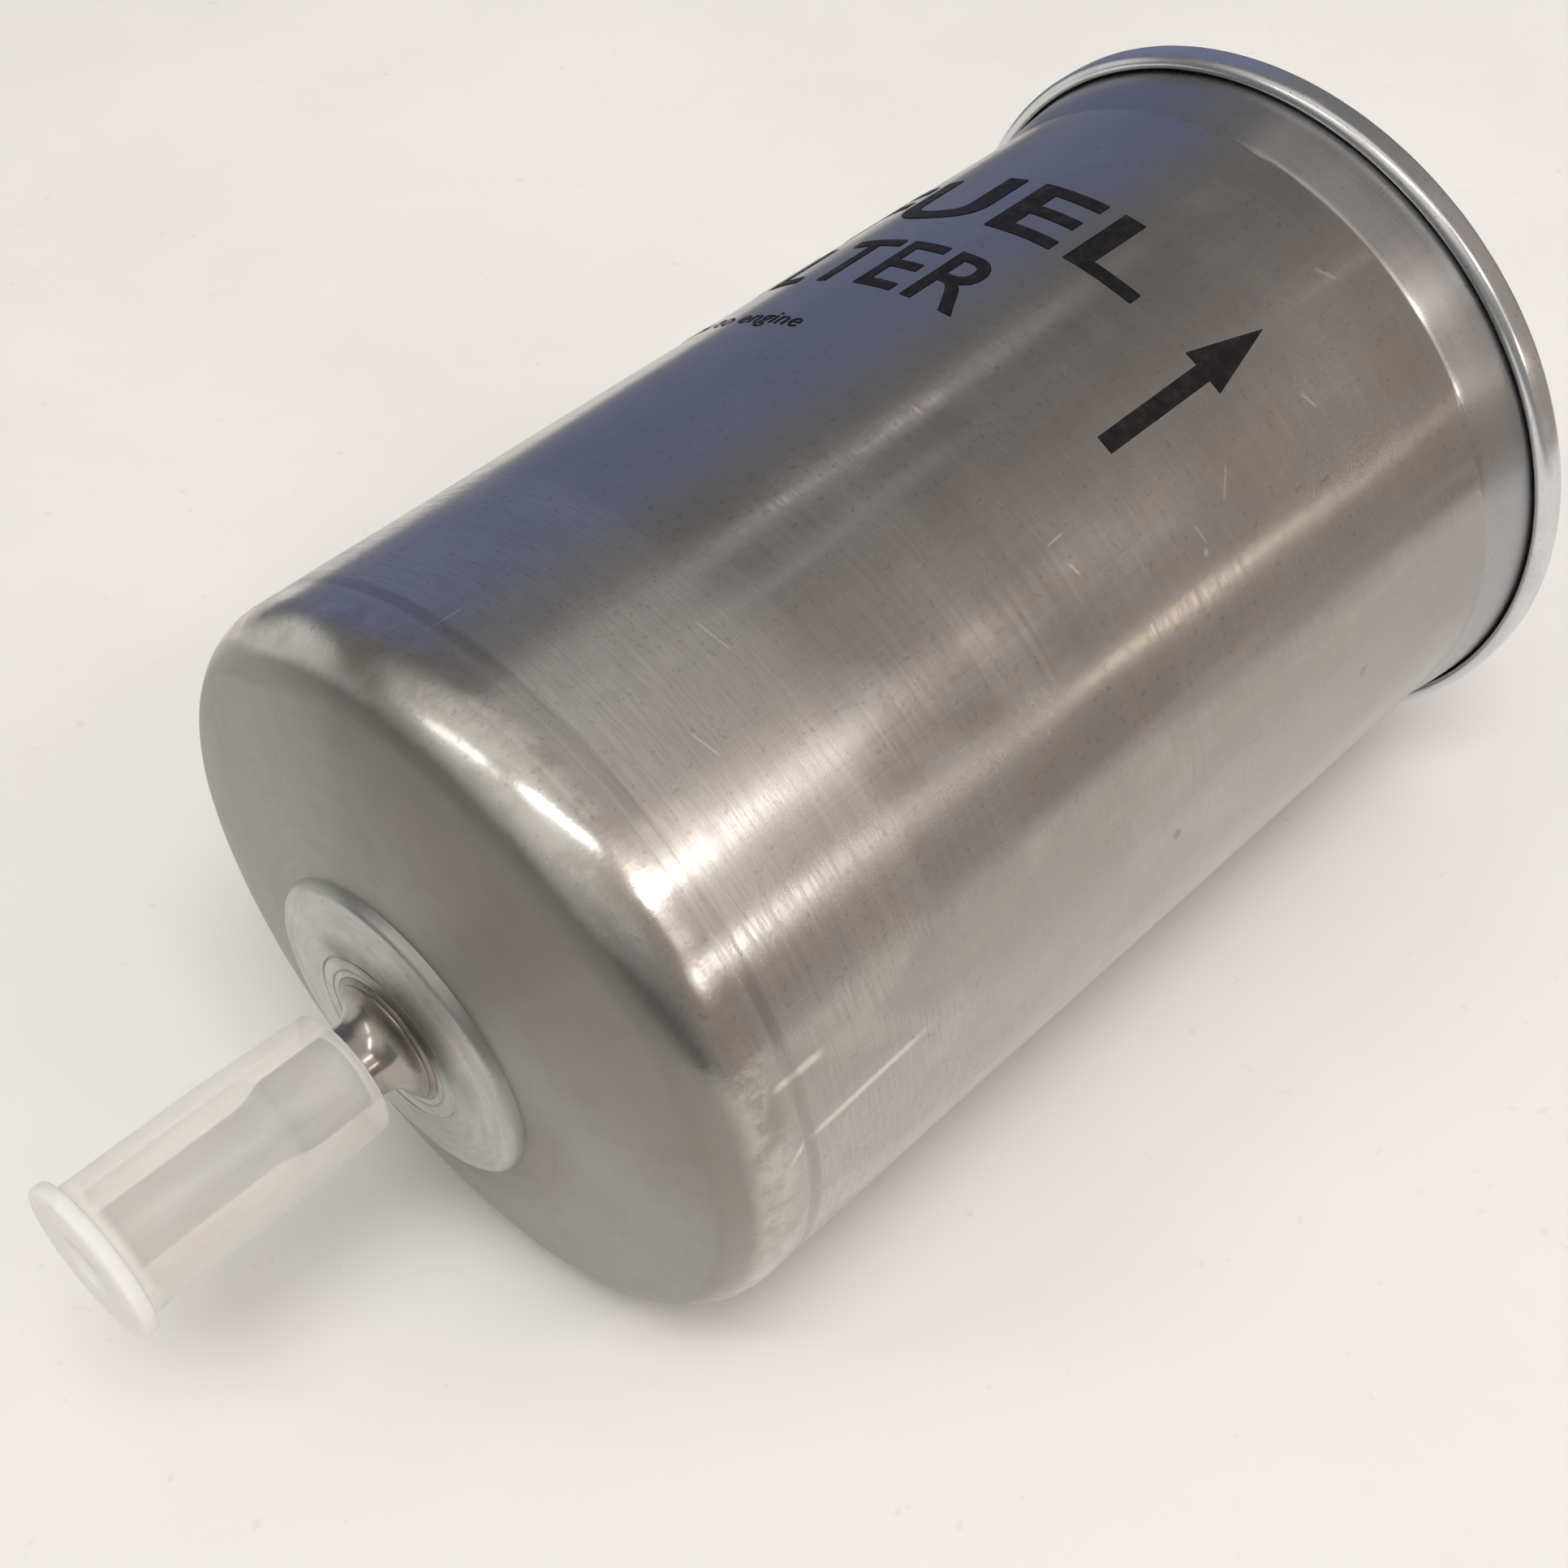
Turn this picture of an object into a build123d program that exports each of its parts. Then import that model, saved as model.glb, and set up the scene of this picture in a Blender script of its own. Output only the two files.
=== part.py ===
from build123d import *

import os
from math import cos, pi, radians, sin, sqrt

# In-line fuel filter in a drawn steel can. Millimetres. The can's axis is +X, which is the way the fuel flows, and
# +Z is up as the can lies on its side. The origin is on the axis, half way along the can's plain clamping wall.

# ---- can ----
sheet = 0.8
can_r = 40.0
wall_half = 52.15  # half the plain wall between the knuckle groove and the flared mouth
groove_depth = 0.05
groove_width = 2.0
groove_gap = 0.45  # from the plain wall's end to the groove
knuckle_x = -56.15  # where the wall turns into the dome
knuckle_r = 7.0
crown_r = 115.0

# ---- boss that carries a spigot: x_face is the flat face the collar sits on ----
inlet_face = -69.1
outlet_face = 64.0
boss_flat_r = 9.3  # a scribed ring ends the flat
boss_cone_r = 15.1
boss_cone_drop = 0.65
boss_edge_r = 16.5
boss_edge_drop = 1.25
boss_foot_r = 16.8
scribe = 0.15  # half width and depth of the scribed ring

# ---- spigot, measured outward from the boss face ----
shank_r = 5.0
collar_r = 6.4
collar_t = 0.5
trumpet_top_r = 6.15
trumpet_end = 3.5
land_r = 3.95
land_end = 11.9
nose_start = 14.4
nose_r = 3.15
spigot_length = 30.75
spigot_bore_r = 2.35
tip_chamfer = 0.4
weld_r = 6.95
weld_t = 0.35
weld_crown = 0.05  # how far the bead bulges
trumpet_mid = 0.4  # where the sweep's middle point lies, as a share of its reach from the land
outlet_stub = 14.0  # how far the outlet spigot reaches inside the lid

# ---- transport cap, measured outward from the boss face ----
cap_mouth = 5.0
cap_mouth_r = 6.5
cap_body_r = 6.95
cap_taper_end = 17.0
cap_grip_r = 4.0  # 0.05 mm clear of the spigot's land
cap_grip_end = 12.4
cap_bore_r = 5.3
cap_bore_start = 13.6
cap_bore_end = 31.3
cap_flange_start = 31.6
cap_flange_r = 8.2
cap_end = 33.2
cap_dimple_r = 3.1
cap_dimple_depth = 0.9
cap_dimple_taper = 0.2
cap_round = 0.35

# ---- rolled seam ----
flare_start = wall_half
flare_step_x = 57.0
flare_step_r = 40.85
mouth_x = 61.2
mouth_r = 41.3
flange_x = 61.6
flange_r = 42.1
flange_bore_r = 40.5
gasket_t = 0.46
rim_r = 43.0
rim_x = 63.66
lip_x = 59.68
lip_r = 41.45
lip_round = 0.45  # on the curl's edge
seam_gap = 0.1  # between the can's flange and the curl round it
chuck_r = 39.65
chuck_foot_x = 58.4
chuck_foot_r = 39.35
countersink_x = 57.2
countersink_r = 38.2
countersink_half = 1.1  # from the countersink's lowest ring to where it turns up to the panel
panel_x = 61.0
panel_r = 35.6

# ---- filter element ----
element_inlet_x = -52.0
element_outlet_x = 47.0
disc_t = 1.5
disc_r = 35.0
disc_wall = 1.4
disc_lip = 5.5
potting_t = 1.5
pleat_count = 42
pleat_out_r = 33.0
pleat_in_r = 16.0
pleat_fold = 3.8  # radial depth of the medium at a fold
tube_r = 15.0
tube_t = 0.8
tube_hole_r = 2.5
tube_hole_pitch = 10.0
tube_hole_rows = 9
pilot_t = 3.0
neck_bore_r = 7.0
neck_r = 9.0
neck_end = 56.0
seal_x = 53.5
seal_section_r = 1.0

# ---- spring under the closed disc ----
seat_r = 18.5
seat_bore_r = 8.0
seat_t = 0.8
seat_rim = 3.0
wire_r = 0.9
coil_r = 16.0
coil_turns = 3

arc_mid = 1 - sqrt(0.5)  # a quarter round's middle point, as a share of its radius in from each side
crown_centre = knuckle_x + sqrt((crown_r - knuckle_r) ** 2 - (can_r - knuckle_r) ** 2)
knuckle_turn = Vector(knuckle_x - crown_centre, can_r - knuckle_r).normalized()


def crown_x(radius, r):
    """x of the crown sphere of this radius, at distance r from the axis."""
    return crown_centre - sqrt(radius**2 - r**2)


def knuckle_point(radius, turn):
    """A point on the knuckle: turn is 0 at the crown and 1 at the wall."""
    x = knuckle_turn.X * (1 - turn)
    r = knuckle_turn.Y * (1 - turn) + turn
    step = Vector(x, r).normalized() * radius
    return (knuckle_x + step.X, can_r - knuckle_r + step.Y)


def boss(face, side, back=0.0):
    """Boss profile from the shank hole outwards; side is the way it faces, back moves it into the sheet."""
    x = face - side * back
    return [
        (x, shank_r),
        (x, boss_flat_r - scribe),
        (x - side * scribe, boss_flat_r),
        (x, boss_flat_r + scribe),
        (x - side * boss_cone_drop, boss_cone_r),
        (x - side * boss_edge_drop, boss_edge_r),
    ]


def save(piece, label):
    """Names a finished piece and writes its STEP file."""
    piece.part.label = label
    export_step(piece.part, f"parts/{label}.step")


os.makedirs("parts", exist_ok=True)

# The drawn can: boss, crown, knuckle, shallow groove, plain wall, flared mouth and the flange inside the seam.
groove_end = -wall_half - groove_gap
groove_start = groove_end - groove_width
inner_knuckle = knuckle_r - sheet
inner_crown = crown_r - sheet
boss_inner_r = boss_edge_r - sheet
with BuildPart() as housing_can:
    with BuildSketch(Plane.XY):
        with BuildLine():
            outside = Polyline(*boss(inlet_face, -1), (crown_x(crown_r, boss_foot_r), boss_foot_r))
            mid_r = (boss_foot_r + knuckle_point(knuckle_r, 0)[1]) / 2
            ThreePointArc(outside @ 1, (crown_x(crown_r, mid_r), mid_r), knuckle_point(knuckle_r, 0))
            ThreePointArc(knuckle_point(knuckle_r, 0), knuckle_point(knuckle_r, 0.5), (knuckle_x, can_r))
            Line((knuckle_x, can_r), (groove_start, can_r))
            ThreePointArc(
                (groove_start, can_r),
                ((groove_start + groove_end) / 2, can_r - groove_depth),
                (groove_end, can_r),
            )
            Polyline(
                (groove_end, can_r),
                (flare_start, can_r),
                (flare_step_x, flare_step_r),
                (mouth_x, mouth_r),
                (flange_x, mouth_r + (flange_x - mouth_x)),
                (flange_x, flange_r),
                (flange_x + sheet, flange_r),
                (flange_x + sheet, flange_bore_r),
                (mouth_x, flange_bore_r),
                (flare_step_x, flare_step_r - sheet),
                (flare_start, can_r - sheet),
                (knuckle_x, can_r - sheet),
            )
            ThreePointArc(
                (knuckle_x, can_r - sheet),
                knuckle_point(inner_knuckle, 0.5),
                knuckle_point(inner_knuckle, 0),
            )
            inner_mid = (boss_inner_r + knuckle_point(inner_knuckle, 0)[1]) / 2
            inner_foot = (crown_x(inner_crown, boss_inner_r), boss_inner_r)
            ThreePointArc(
                knuckle_point(inner_knuckle, 0),
                (crown_x(inner_crown, inner_mid), inner_mid),
                inner_foot,
            )
            Polyline(
                inner_foot,
                (inlet_face + sheet + boss_cone_drop, boss_cone_r - sheet),
                (inlet_face + sheet, boss_flat_r),
                (inlet_face + sheet, shank_r),
                (inlet_face, shank_r),
            )
        make_face()
    revolve(axis=Axis.X)
save(housing_can, "housing_can")

# The end lid: rolled rim, chuck wall, countersink, panel and boss, in one pressing.
rim_round = rim_r - lip_r - lip_round
with BuildPart() as end_lid:
    with BuildSketch(Plane.XY):
        with BuildLine():
            face = Polyline(*boss(outlet_face, 1), (outlet_face - 2 * boss_edge_drop, boss_foot_r), (panel_x, panel_r))
            Spline(
                face @ 1,
                (panel_x - sheet, panel_r + sheet),
                (countersink_x + sheet, countersink_r - countersink_half),
                (countersink_x, countersink_r),
                (chuck_foot_x, chuck_foot_r),
                tangents=((-0.2, 1), (1, 0.15)),
            )
            Line((chuck_foot_x, chuck_foot_r), (rim_x - sheet, chuck_r))
            ThreePointArc(
                (rim_x - sheet, chuck_r),
                (rim_x - arc_mid * sheet, chuck_r + arc_mid * sheet),
                (rim_x, chuck_r + sheet),
            )
            Line((rim_x, chuck_r + sheet), (rim_x, rim_r - rim_round))
            ThreePointArc(
                (rim_x, rim_r - rim_round),
                (rim_x - arc_mid * rim_round, rim_r - arc_mid * rim_round),
                (rim_x - rim_round, rim_r),
            )
            Line((rim_x - rim_round, rim_r), (lip_x + rim_round, rim_r))
            ThreePointArc(
                (lip_x + rim_round, rim_r),
                (lip_x + arc_mid * rim_round, rim_r - arc_mid * rim_round),
                (lip_x, lip_r + lip_round),
            )
            ThreePointArc(
                (lip_x, lip_r + lip_round),
                (lip_x + arc_mid * lip_round, lip_r + arc_mid * lip_round),
                (lip_x + lip_round, lip_r),
            )
            Polyline(
                (lip_x + lip_round, lip_r),
                (lip_x + sheet, lip_r),
                (lip_x + sheet, flange_r),
                (flange_x, flange_r + seam_gap),
                (flange_x + sheet + gasket_t, flange_r + seam_gap),
                (flange_x + sheet + gasket_t, flange_bore_r - seam_gap / 2),
                (chuck_foot_x, chuck_foot_r + sheet),
            )
            Spline(
                (chuck_foot_x, chuck_foot_r + sheet),
                (countersink_x - sheet, countersink_r),
                (countersink_x + sheet, countersink_r - countersink_half - sheet),
                (panel_x - 2 * sheet, panel_r),
                (panel_x - sheet, panel_r - sheet),
                tangents=((-1, -0.15), (0.2, -1)),
            )
            Polyline(
                (panel_x - sheet, panel_r - sheet),
                (outlet_face - 2 * boss_edge_drop - sheet, boss_foot_r - sheet),
                (outlet_face - sheet - boss_cone_drop, boss_cone_r - sheet),
                (outlet_face - sheet, boss_flat_r),
                (outlet_face - sheet, shank_r),
                (outlet_face, shank_r),
            )
        make_face()
    revolve(axis=Axis.X)
save(end_lid, "end_lid")

# Sealing compound between the can's flange and the rolled rim.
with BuildPart() as seam_gasket:
    with BuildSketch(Plane.XY):
        with BuildLine():
            Polyline(
                (flange_x + sheet, flange_bore_r),
                (flange_x + sheet + gasket_t, flange_bore_r),
                (flange_x + sheet + gasket_t, flange_r),
                (flange_x + sheet, flange_r),
                close=True,
            )
        make_face()
    revolve(axis=Axis.X)
save(seam_gasket, "seam_gasket")


def make_spigot(face, side, stub):
    """A turned spigot: stub inside, shank, collar, trumpet foot, land for the cap and a slimmer nose."""

    def at(out, r):
        return (face + side * out, r)

    with BuildPart() as spigot:
        with BuildSketch(Plane.XY):
            with BuildLine():
                Polyline(at(-stub, spigot_bore_r), at(-stub, shank_r), at(0, shank_r), at(0, collar_r))
                Polyline(at(0, collar_r), at(collar_t, collar_r), at(collar_t + scribe, trumpet_top_r))
                reach = trumpet_end - collar_t - scribe
                drop = trumpet_top_r - land_r
                sweep_r = (reach**2 + drop**2) / (2 * drop)
                halfway = reach * trumpet_mid
                flare_point = at(trumpet_end - halfway, land_r + sweep_r - sqrt(sweep_r**2 - halfway**2))
                ThreePointArc(at(collar_t + scribe, trumpet_top_r), flare_point, at(trumpet_end, land_r))
                Polyline(
                    at(trumpet_end, land_r),
                    at(land_end, land_r),
                    at(nose_start, nose_r),
                    at(spigot_length - tip_chamfer, nose_r),
                    at(spigot_length, nose_r - tip_chamfer),
                    at(spigot_length, spigot_bore_r),
                    at(-stub, spigot_bore_r),
                )
            make_face()
        revolve(axis=Axis.X)
    return spigot


def make_weld(face, side):
    """The weld bead round a spigot's collar."""
    with BuildPart() as weld:
        with BuildSketch(Plane.XY):
            with BuildLine():
                foot = (face, weld_r)
                top = (face + side * weld_t, collar_r)
                bulge = (face + side * (weld_t / 2 + weld_crown), (weld_r + collar_r) / 2 + weld_crown)
                ThreePointArc(foot, bulge, top)
                Polyline(top, (face, collar_r), foot)
            make_face()
        revolve(axis=Axis.X)
    return weld


def make_cap(face, side):
    """A push-on transport cap: tapered sleeve, gripping mouth, wider bore, closed end with flange and dimple."""

    def at(out, r):
        return (face + side * out, r)

    with BuildPart() as cap:
        with BuildSketch(Plane.XY):
            with BuildLine():
                half = cap_round * arc_mid
                Polyline(at(cap_mouth, cap_grip_r), at(cap_mouth, cap_mouth_r - cap_round))
                ThreePointArc(
                    at(cap_mouth, cap_mouth_r - cap_round),
                    at(cap_mouth + half, cap_mouth_r - half),
                    at(cap_mouth + cap_round, cap_mouth_r),
                )
                Polyline(
                    at(cap_mouth + cap_round, cap_mouth_r),
                    at(cap_taper_end, cap_body_r),
                    at(cap_flange_start, cap_body_r),
                    at(cap_flange_start, cap_flange_r - cap_round),
                )
                ThreePointArc(
                    at(cap_flange_start, cap_flange_r - cap_round),
                    at(cap_flange_start + half, cap_flange_r - half),
                    at(cap_flange_start + cap_round, cap_flange_r),
                )
                Line(at(cap_flange_start + cap_round, cap_flange_r), at(cap_end - cap_round, cap_flange_r))
                ThreePointArc(
                    at(cap_end - cap_round, cap_flange_r),
                    at(cap_end - half, cap_flange_r - half),
                    at(cap_end, cap_flange_r - cap_round),
                )
                Polyline(
                    at(cap_end, cap_flange_r - cap_round),
                    at(cap_end, cap_dimple_r),
                    at(cap_end - cap_dimple_depth, cap_dimple_r - cap_dimple_taper),
                    at(cap_end - cap_dimple_depth, 0),
                    at(cap_bore_end, 0),
                    at(cap_bore_end, cap_bore_r),
                    at(cap_bore_start, cap_bore_r),
                    at(cap_grip_end, cap_grip_r),
                    at(cap_mouth, cap_grip_r),
                )
            make_face()
        revolve(axis=Axis.X)
    return cap


# Both ends carry the same spigot, weld and cap; only the outlet spigot reaches inside.
for end, face_x, way, inside in (("inlet", inlet_face, -1, sheet), ("outlet", outlet_face, 1, outlet_stub)):
    save(make_spigot(face_x, way, inside), f"{end}_spigot")
    save(make_weld(face_x, way), f"{end}_weld_ring")
    save(make_cap(face_x, way), f"{end}_dust_cap")

# The pleated medium: a closed zigzag of paper.
pleats_from = element_inlet_x + disc_t + potting_t
pleats_to = element_outlet_x - disc_t - potting_t


def star(outer, inner):
    """Corners of a star polygon with one fold out and one fold in for each pleat."""
    half_step = pi / pleat_count
    corners = []
    for fold in range(2 * pleat_count):
        r = outer if fold % 2 == 0 else inner
        corners.append((r * cos(fold * half_step), r * sin(fold * half_step)))
    return corners


with BuildPart() as filter_pleats:
    with BuildSketch(Plane.YZ.offset(pleats_from)):
        with BuildLine():
            Polyline(*star(pleat_out_r, pleat_in_r + pleat_fold), close=True)
        make_face()
        with BuildLine():
            Polyline(*star(pleat_out_r - pleat_fold, pleat_in_r), close=True)
        make_face(mode=Mode.SUBTRACT)
    extrude(amount=pleats_to - pleats_from)
save(filter_pleats, "filter_pleats")

# The perforated centre tube.
tube_from = element_inlet_x + disc_t
tube_to = element_outlet_x - disc_t
with BuildPart() as center_tube:
    with BuildSketch(Plane.YZ.offset(tube_from)):
        Circle(tube_r)
        Circle(tube_r - tube_t, mode=Mode.SUBTRACT)
    extrude(amount=tube_to - tube_from)
    for turn in range(4):
        angle = radians(45 * turn)
        stagger = tube_hole_pitch / 4 * (1 if turn % 2 else -1)
        middle = (tube_from + tube_to) / 2 + stagger
        cut = Plane(origin=(middle, 0, 0), x_dir=(1, 0, 0), z_dir=(0, -sin(angle), cos(angle)))
        with BuildSketch(cut):
            with GridLocations(tube_hole_pitch, 1, tube_hole_rows, 1):
                Circle(tube_hole_r)
        extrude(amount=tube_r + 1, both=True, mode=Mode.SUBTRACT)
save(center_tube, "center_tube")

# Closed disc at the inlet end: plate, outer lip and a pilot inside the centre tube.
with BuildPart() as inlet_end_disc:
    with BuildSketch(Plane.XY):
        with BuildLine():
            Polyline(
                (element_inlet_x, 0),
                (element_inlet_x, disc_r),
                (element_inlet_x + disc_lip, disc_r),
                (element_inlet_x + disc_lip, disc_r - disc_wall),
                (tube_from, disc_r - disc_wall),
                (tube_from, tube_r - tube_t),
                (tube_from + pilot_t, tube_r - tube_t),
                (tube_from + pilot_t, 0),
                close=True,
            )
        make_face()
    revolve(axis=Axis.X)
save(inlet_end_disc, "inlet_end_disc")

# Open disc at the outlet end: the same, with a neck that takes the seal.
with BuildPart() as outlet_end_disc:
    with BuildSketch(Plane.XY):
        with BuildLine():
            Polyline(
                (tube_to - pilot_t, neck_bore_r),
                (tube_to - pilot_t, tube_r - tube_t),
                (tube_to, tube_r - tube_t),
                (tube_to, disc_r - disc_wall),
                (element_outlet_x - disc_lip, disc_r - disc_wall),
                (element_outlet_x - disc_lip, disc_r),
                (element_outlet_x, disc_r),
                (element_outlet_x, neck_r),
                (neck_end, neck_r),
                (neck_end, neck_bore_r),
                close=True,
            )
        make_face()
    revolve(axis=Axis.X)
save(outlet_end_disc, "outlet_end_disc")

# Adhesive rings that hold the pleats' ends in the discs.
for end, ring_from in (("inlet", tube_from), ("outlet", pleats_to)):
    with BuildPart() as potting:
        with BuildSketch(Plane.YZ.offset(ring_from)):
            Circle(disc_r - disc_wall)
            Circle(tube_r, mode=Mode.SUBTRACT)
        extrude(amount=potting_t)
    save(potting, f"{end}_potting")

# Rubber ring between the element's neck and the outlet spigot's stub.
with BuildPart() as outlet_neck_seal:
    with BuildSketch(Plane.XY):
        with Locations((seal_x, shank_r + seal_section_r)):
            Circle(seal_section_r)
    revolve(axis=Axis.X)
save(outlet_neck_seal, "outlet_neck_seal")

# Pressed seat on the closed disc, and the spring that holds the element against the outlet.
with BuildPart() as spring_seat:
    with BuildSketch(Plane.XY):
        with BuildLine():
            Polyline(
                (element_inlet_x, seat_bore_r),
                (element_inlet_x, seat_r),
                (element_inlet_x - seat_rim, seat_r),
                (element_inlet_x - seat_rim, seat_r - seat_t),
                (element_inlet_x - seat_t, seat_r - seat_t),
                (element_inlet_x - seat_t, seat_bore_r),
                close=True,
            )
        make_face()
    revolve(axis=Axis.X)
save(spring_seat, "spring_seat")

coil_clear = 0.1  # keeps the wire's ends just off the dome and the seat
coil_from = crown_x(inner_crown, coil_r + wire_r) + wire_r + coil_clear
coil_to = element_inlet_x - seat_t - wire_r - coil_clear
with BuildPart() as support_spring:
    with BuildLine():
        coil = Helix(
            pitch=(coil_to - coil_from) / coil_turns,
            height=coil_to - coil_from,
            radius=coil_r,
            center=(coil_from, 0, 0),
            direction=(1, 0, 0),
        )
    with BuildSketch(Plane(origin=coil @ 0, z_dir=coil % 0)):
        Circle(wire_r)
    sweep(path=coil, is_frenet=True)
save(support_spring, "support_spring")
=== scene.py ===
import math

import bmesh
import bpy
import numpy as np
from mathutils import Matrix, Vector, noise


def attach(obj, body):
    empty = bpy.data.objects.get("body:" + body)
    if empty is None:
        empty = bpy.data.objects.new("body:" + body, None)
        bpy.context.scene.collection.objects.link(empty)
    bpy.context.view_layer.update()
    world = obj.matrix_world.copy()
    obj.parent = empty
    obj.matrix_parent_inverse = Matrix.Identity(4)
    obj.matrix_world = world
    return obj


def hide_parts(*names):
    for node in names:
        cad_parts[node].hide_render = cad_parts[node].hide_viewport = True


# Looks for the in-line fuel filter. Lengths are in millimetres until a mesh is made; the can's axis is X.
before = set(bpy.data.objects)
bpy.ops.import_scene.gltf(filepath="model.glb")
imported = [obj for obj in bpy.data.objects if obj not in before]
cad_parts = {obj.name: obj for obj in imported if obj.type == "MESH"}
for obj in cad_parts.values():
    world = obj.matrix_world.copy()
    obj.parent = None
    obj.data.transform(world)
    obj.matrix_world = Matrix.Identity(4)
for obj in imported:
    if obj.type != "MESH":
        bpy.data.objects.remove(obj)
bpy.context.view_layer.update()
scene = bpy.context.scene
MM = 0.001

# ---- the CAD's own dimensions, except the groove's depth and the shoulder ----
SHEET = 0.8
CAN_R = 40.0
WALL_HALF = 52.15
GROOVE_DEPTH, GROOVE_WIDTH, GROOVE_GAP = 0.015, 2.0, 0.45
KNUCKLE_X, KNUCKLE_R, CROWN_R = -56.15, 7.0, 115.0
FACE = {"inlet": -69.1, "outlet": 64.0}
SIDE = {"inlet": -1, "outlet": 1}
BOSS_FLAT, BOSS_CONE, BOSS_EDGE, BOSS_FOOT = 9.3, 15.1, 16.5, 16.8
BOSS_CONE_DROP, BOSS_EDGE_DROP, SCRIBE = 0.65, 1.25, 0.15
SHOULDER, SHOULDER_DROP = 16.1, 0.86  # where the boss's slope turns down to its edge
SHANK_R, COLLAR_R, COLLAR_T = 5.0, 6.4, 0.5
TRUMPET_TOP, TRUMPET_END, LAND_R, LAND_END = 6.15, 3.5, 3.95, 11.9
NOSE_START, NOSE_R, SPIGOT_LENGTH, BORE_R = 14.4, 3.15, 30.75, 2.35
STUB = {"inlet": SHEET, "outlet": 14.0}
WELD_R, WELD_T = 6.95, 0.35
BEAD_START, BEAD_SHARE, BEAD_SWELL_X, BEAD_SWELL_R = 0.02, 0.97, 0.06, 0.03
CAP_MOUTH, CAP_MOUTH_R, CAP_BODY_R, CAP_TAPER_END = 5.0, 6.5, 6.95, 17.0
CAP_GRIP_R, CAP_GRIP_END, CAP_BORE_R, CAP_BORE_START = 4.0, 12.4, 5.3, 13.6
CAP_BORE_END, CAP_FLANGE, CAP_FLANGE_R, CAP_END = 31.3, 31.6, 8.2, 33.2
CAP_DIMPLE_R, CAP_DIMPLE = 3.1, 0.9
CAPS_MIDDLE = (FACE["inlet"] + FACE["outlet"]) / 2  # the two caps mirror each other about this X
CAPS_HALF = (FACE["outlet"] - FACE["inlet"]) / 2
FLARE_KNEE = ((0.5, 0.13), (1.2, 0.26))  # past the wall and out from it
FLARE_STEP_X, FLARE_STEP_R, MOUTH_X, MOUTH_R = 57.0, 40.85, 61.2, 41.3
FLANGE_X, FLANGE_R, FLANGE_BORE = 61.6, 42.1, 40.5
RIM_R, RIM_X, LIP_X, LIP_R, LIP_ROUND = 43.0, 63.66, 59.68, 41.45, 0.45
CHUCK_R, CHUCK_FOOT = 39.65, (58.4, 39.35)
COUNTERSINK_X, COUNTERSINK_R, COUNTERSINK_HALF, PANEL_X, PANEL_R = 57.2, 38.2, 1.1, 61.0, 35.6
SEAM_GAP, GASKET_T = 0.1, 0.46
TIP_CHAMFER, DIMPLE_TAPER = 0.4, 0.2
CROWN_CENTRE = KNUCKLE_X + math.sqrt((CROWN_R - KNUCKLE_R) ** 2 - (CAN_R - KNUCKLE_R) ** 2)
KNUCKLE_A = math.atan2(CAN_R - KNUCKLE_R, CROWN_CENTRE - KNUCKLE_X)  # the crown's slope where the knuckle starts


# ---- profiles: lists of (x, r) ----
LONGEST_CUT = 0.45  # the most that a rounded corner may take of the runs beside it, as a share


def arc(cx, cr, radius, start, end, steps):
    """Points on an arc in the profile plane; angles in degrees from +x towards +r."""
    angles = np.radians(np.linspace(start, end, steps + 1))
    return [(cx + radius * math.cos(a), cr + radius * math.sin(a)) for a in angles]


def rounded(points, radius, steps=3):
    """The same open line with its sharp corners turned into small arcs; radius may be a dict by corner number."""
    out = []
    for i, point in enumerate(points):
        want = radius.get(i, 0) if isinstance(radius, dict) else radius
        if not want or i in (0, len(points) - 1):
            out.append(point)
            continue
        here = np.array(point)
        back, ahead = np.array(points[i - 1]) - here, np.array(points[i + 1]) - here
        size_b, size_a = np.linalg.norm(back), np.linalg.norm(ahead)
        cut = min(want, size_b * LONGEST_CUT, size_a * LONGEST_CUT)
        one, two = here + back / size_b * cut, here + ahead / size_a * cut
        for t in np.linspace(0, 1, steps + 1):
            spot = (1 - t) ** 2 * one + 2 * t * (1 - t) * here + t**2 * two
            out.append((float(spot[0]), float(spot[1])))
    return out


def smooth_line(points, steps):
    """A Catmull-Rom curve through the points."""
    p = np.array([points[0], *points, points[-1]], float)
    out = []
    for i in range(1, len(p) - 2):
        for t in np.linspace(0, 1, steps, endpoint=False):
            a, b, c, d = p[i - 1], p[i], p[i + 1], p[i + 2]
            spot = 0.5 * (2 * b + (c - a) * t + (2 * a - 5 * b + 4 * c - d) * t**2 + (3 * b - a - 3 * c + d) * t**3)
            out.append(tuple(spot))
    return out + [tuple(p[-2])]


def fill(points, step):
    """The open line with long runs divided, so that shallow shape can be added; its last point is left off."""
    out = []
    for a, b in zip(points, points[1:]):
        runs = max(1, math.ceil(math.dist(a, b) / step))
        out += [(a[0] + (b[0] - a[0]) * k / runs, a[1] + (b[1] - a[1]) * k / runs) for k in range(runs)]
    return out


def boss(end):
    """Boss outline from the shank's hole outwards, with its scribed ring, slope and edge."""
    face, side = FACE[end], SIDE[end]
    return [
        (face, SHANK_R),
        (face, BOSS_FLAT - SCRIBE),
        (face - side * SCRIBE, BOSS_FLAT),
        (face, BOSS_FLAT + SCRIBE),
        (face - side * SHOULDER_DROP, SHOULDER),
        (face - side * BOSS_EDGE_DROP, BOSS_EDGE),
    ]


# ---- meshes ----
ON_AXIS = 1e-6  # a radius below this is a pole
CAN_TURNS, SPIGOT_TURNS, SMALL_TURNS = 320, 96, 128  # faces round each turned piece


def shade(mesh, sharp=None):
    """Smooth shading; edges that bend by more than an angle in degrees stay sharp."""
    for polygon in mesh.polygons:
        polygon.use_smooth = True
    if sharp:
        mesh.set_sharp_from_angle(angle=math.radians(sharp))


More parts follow.
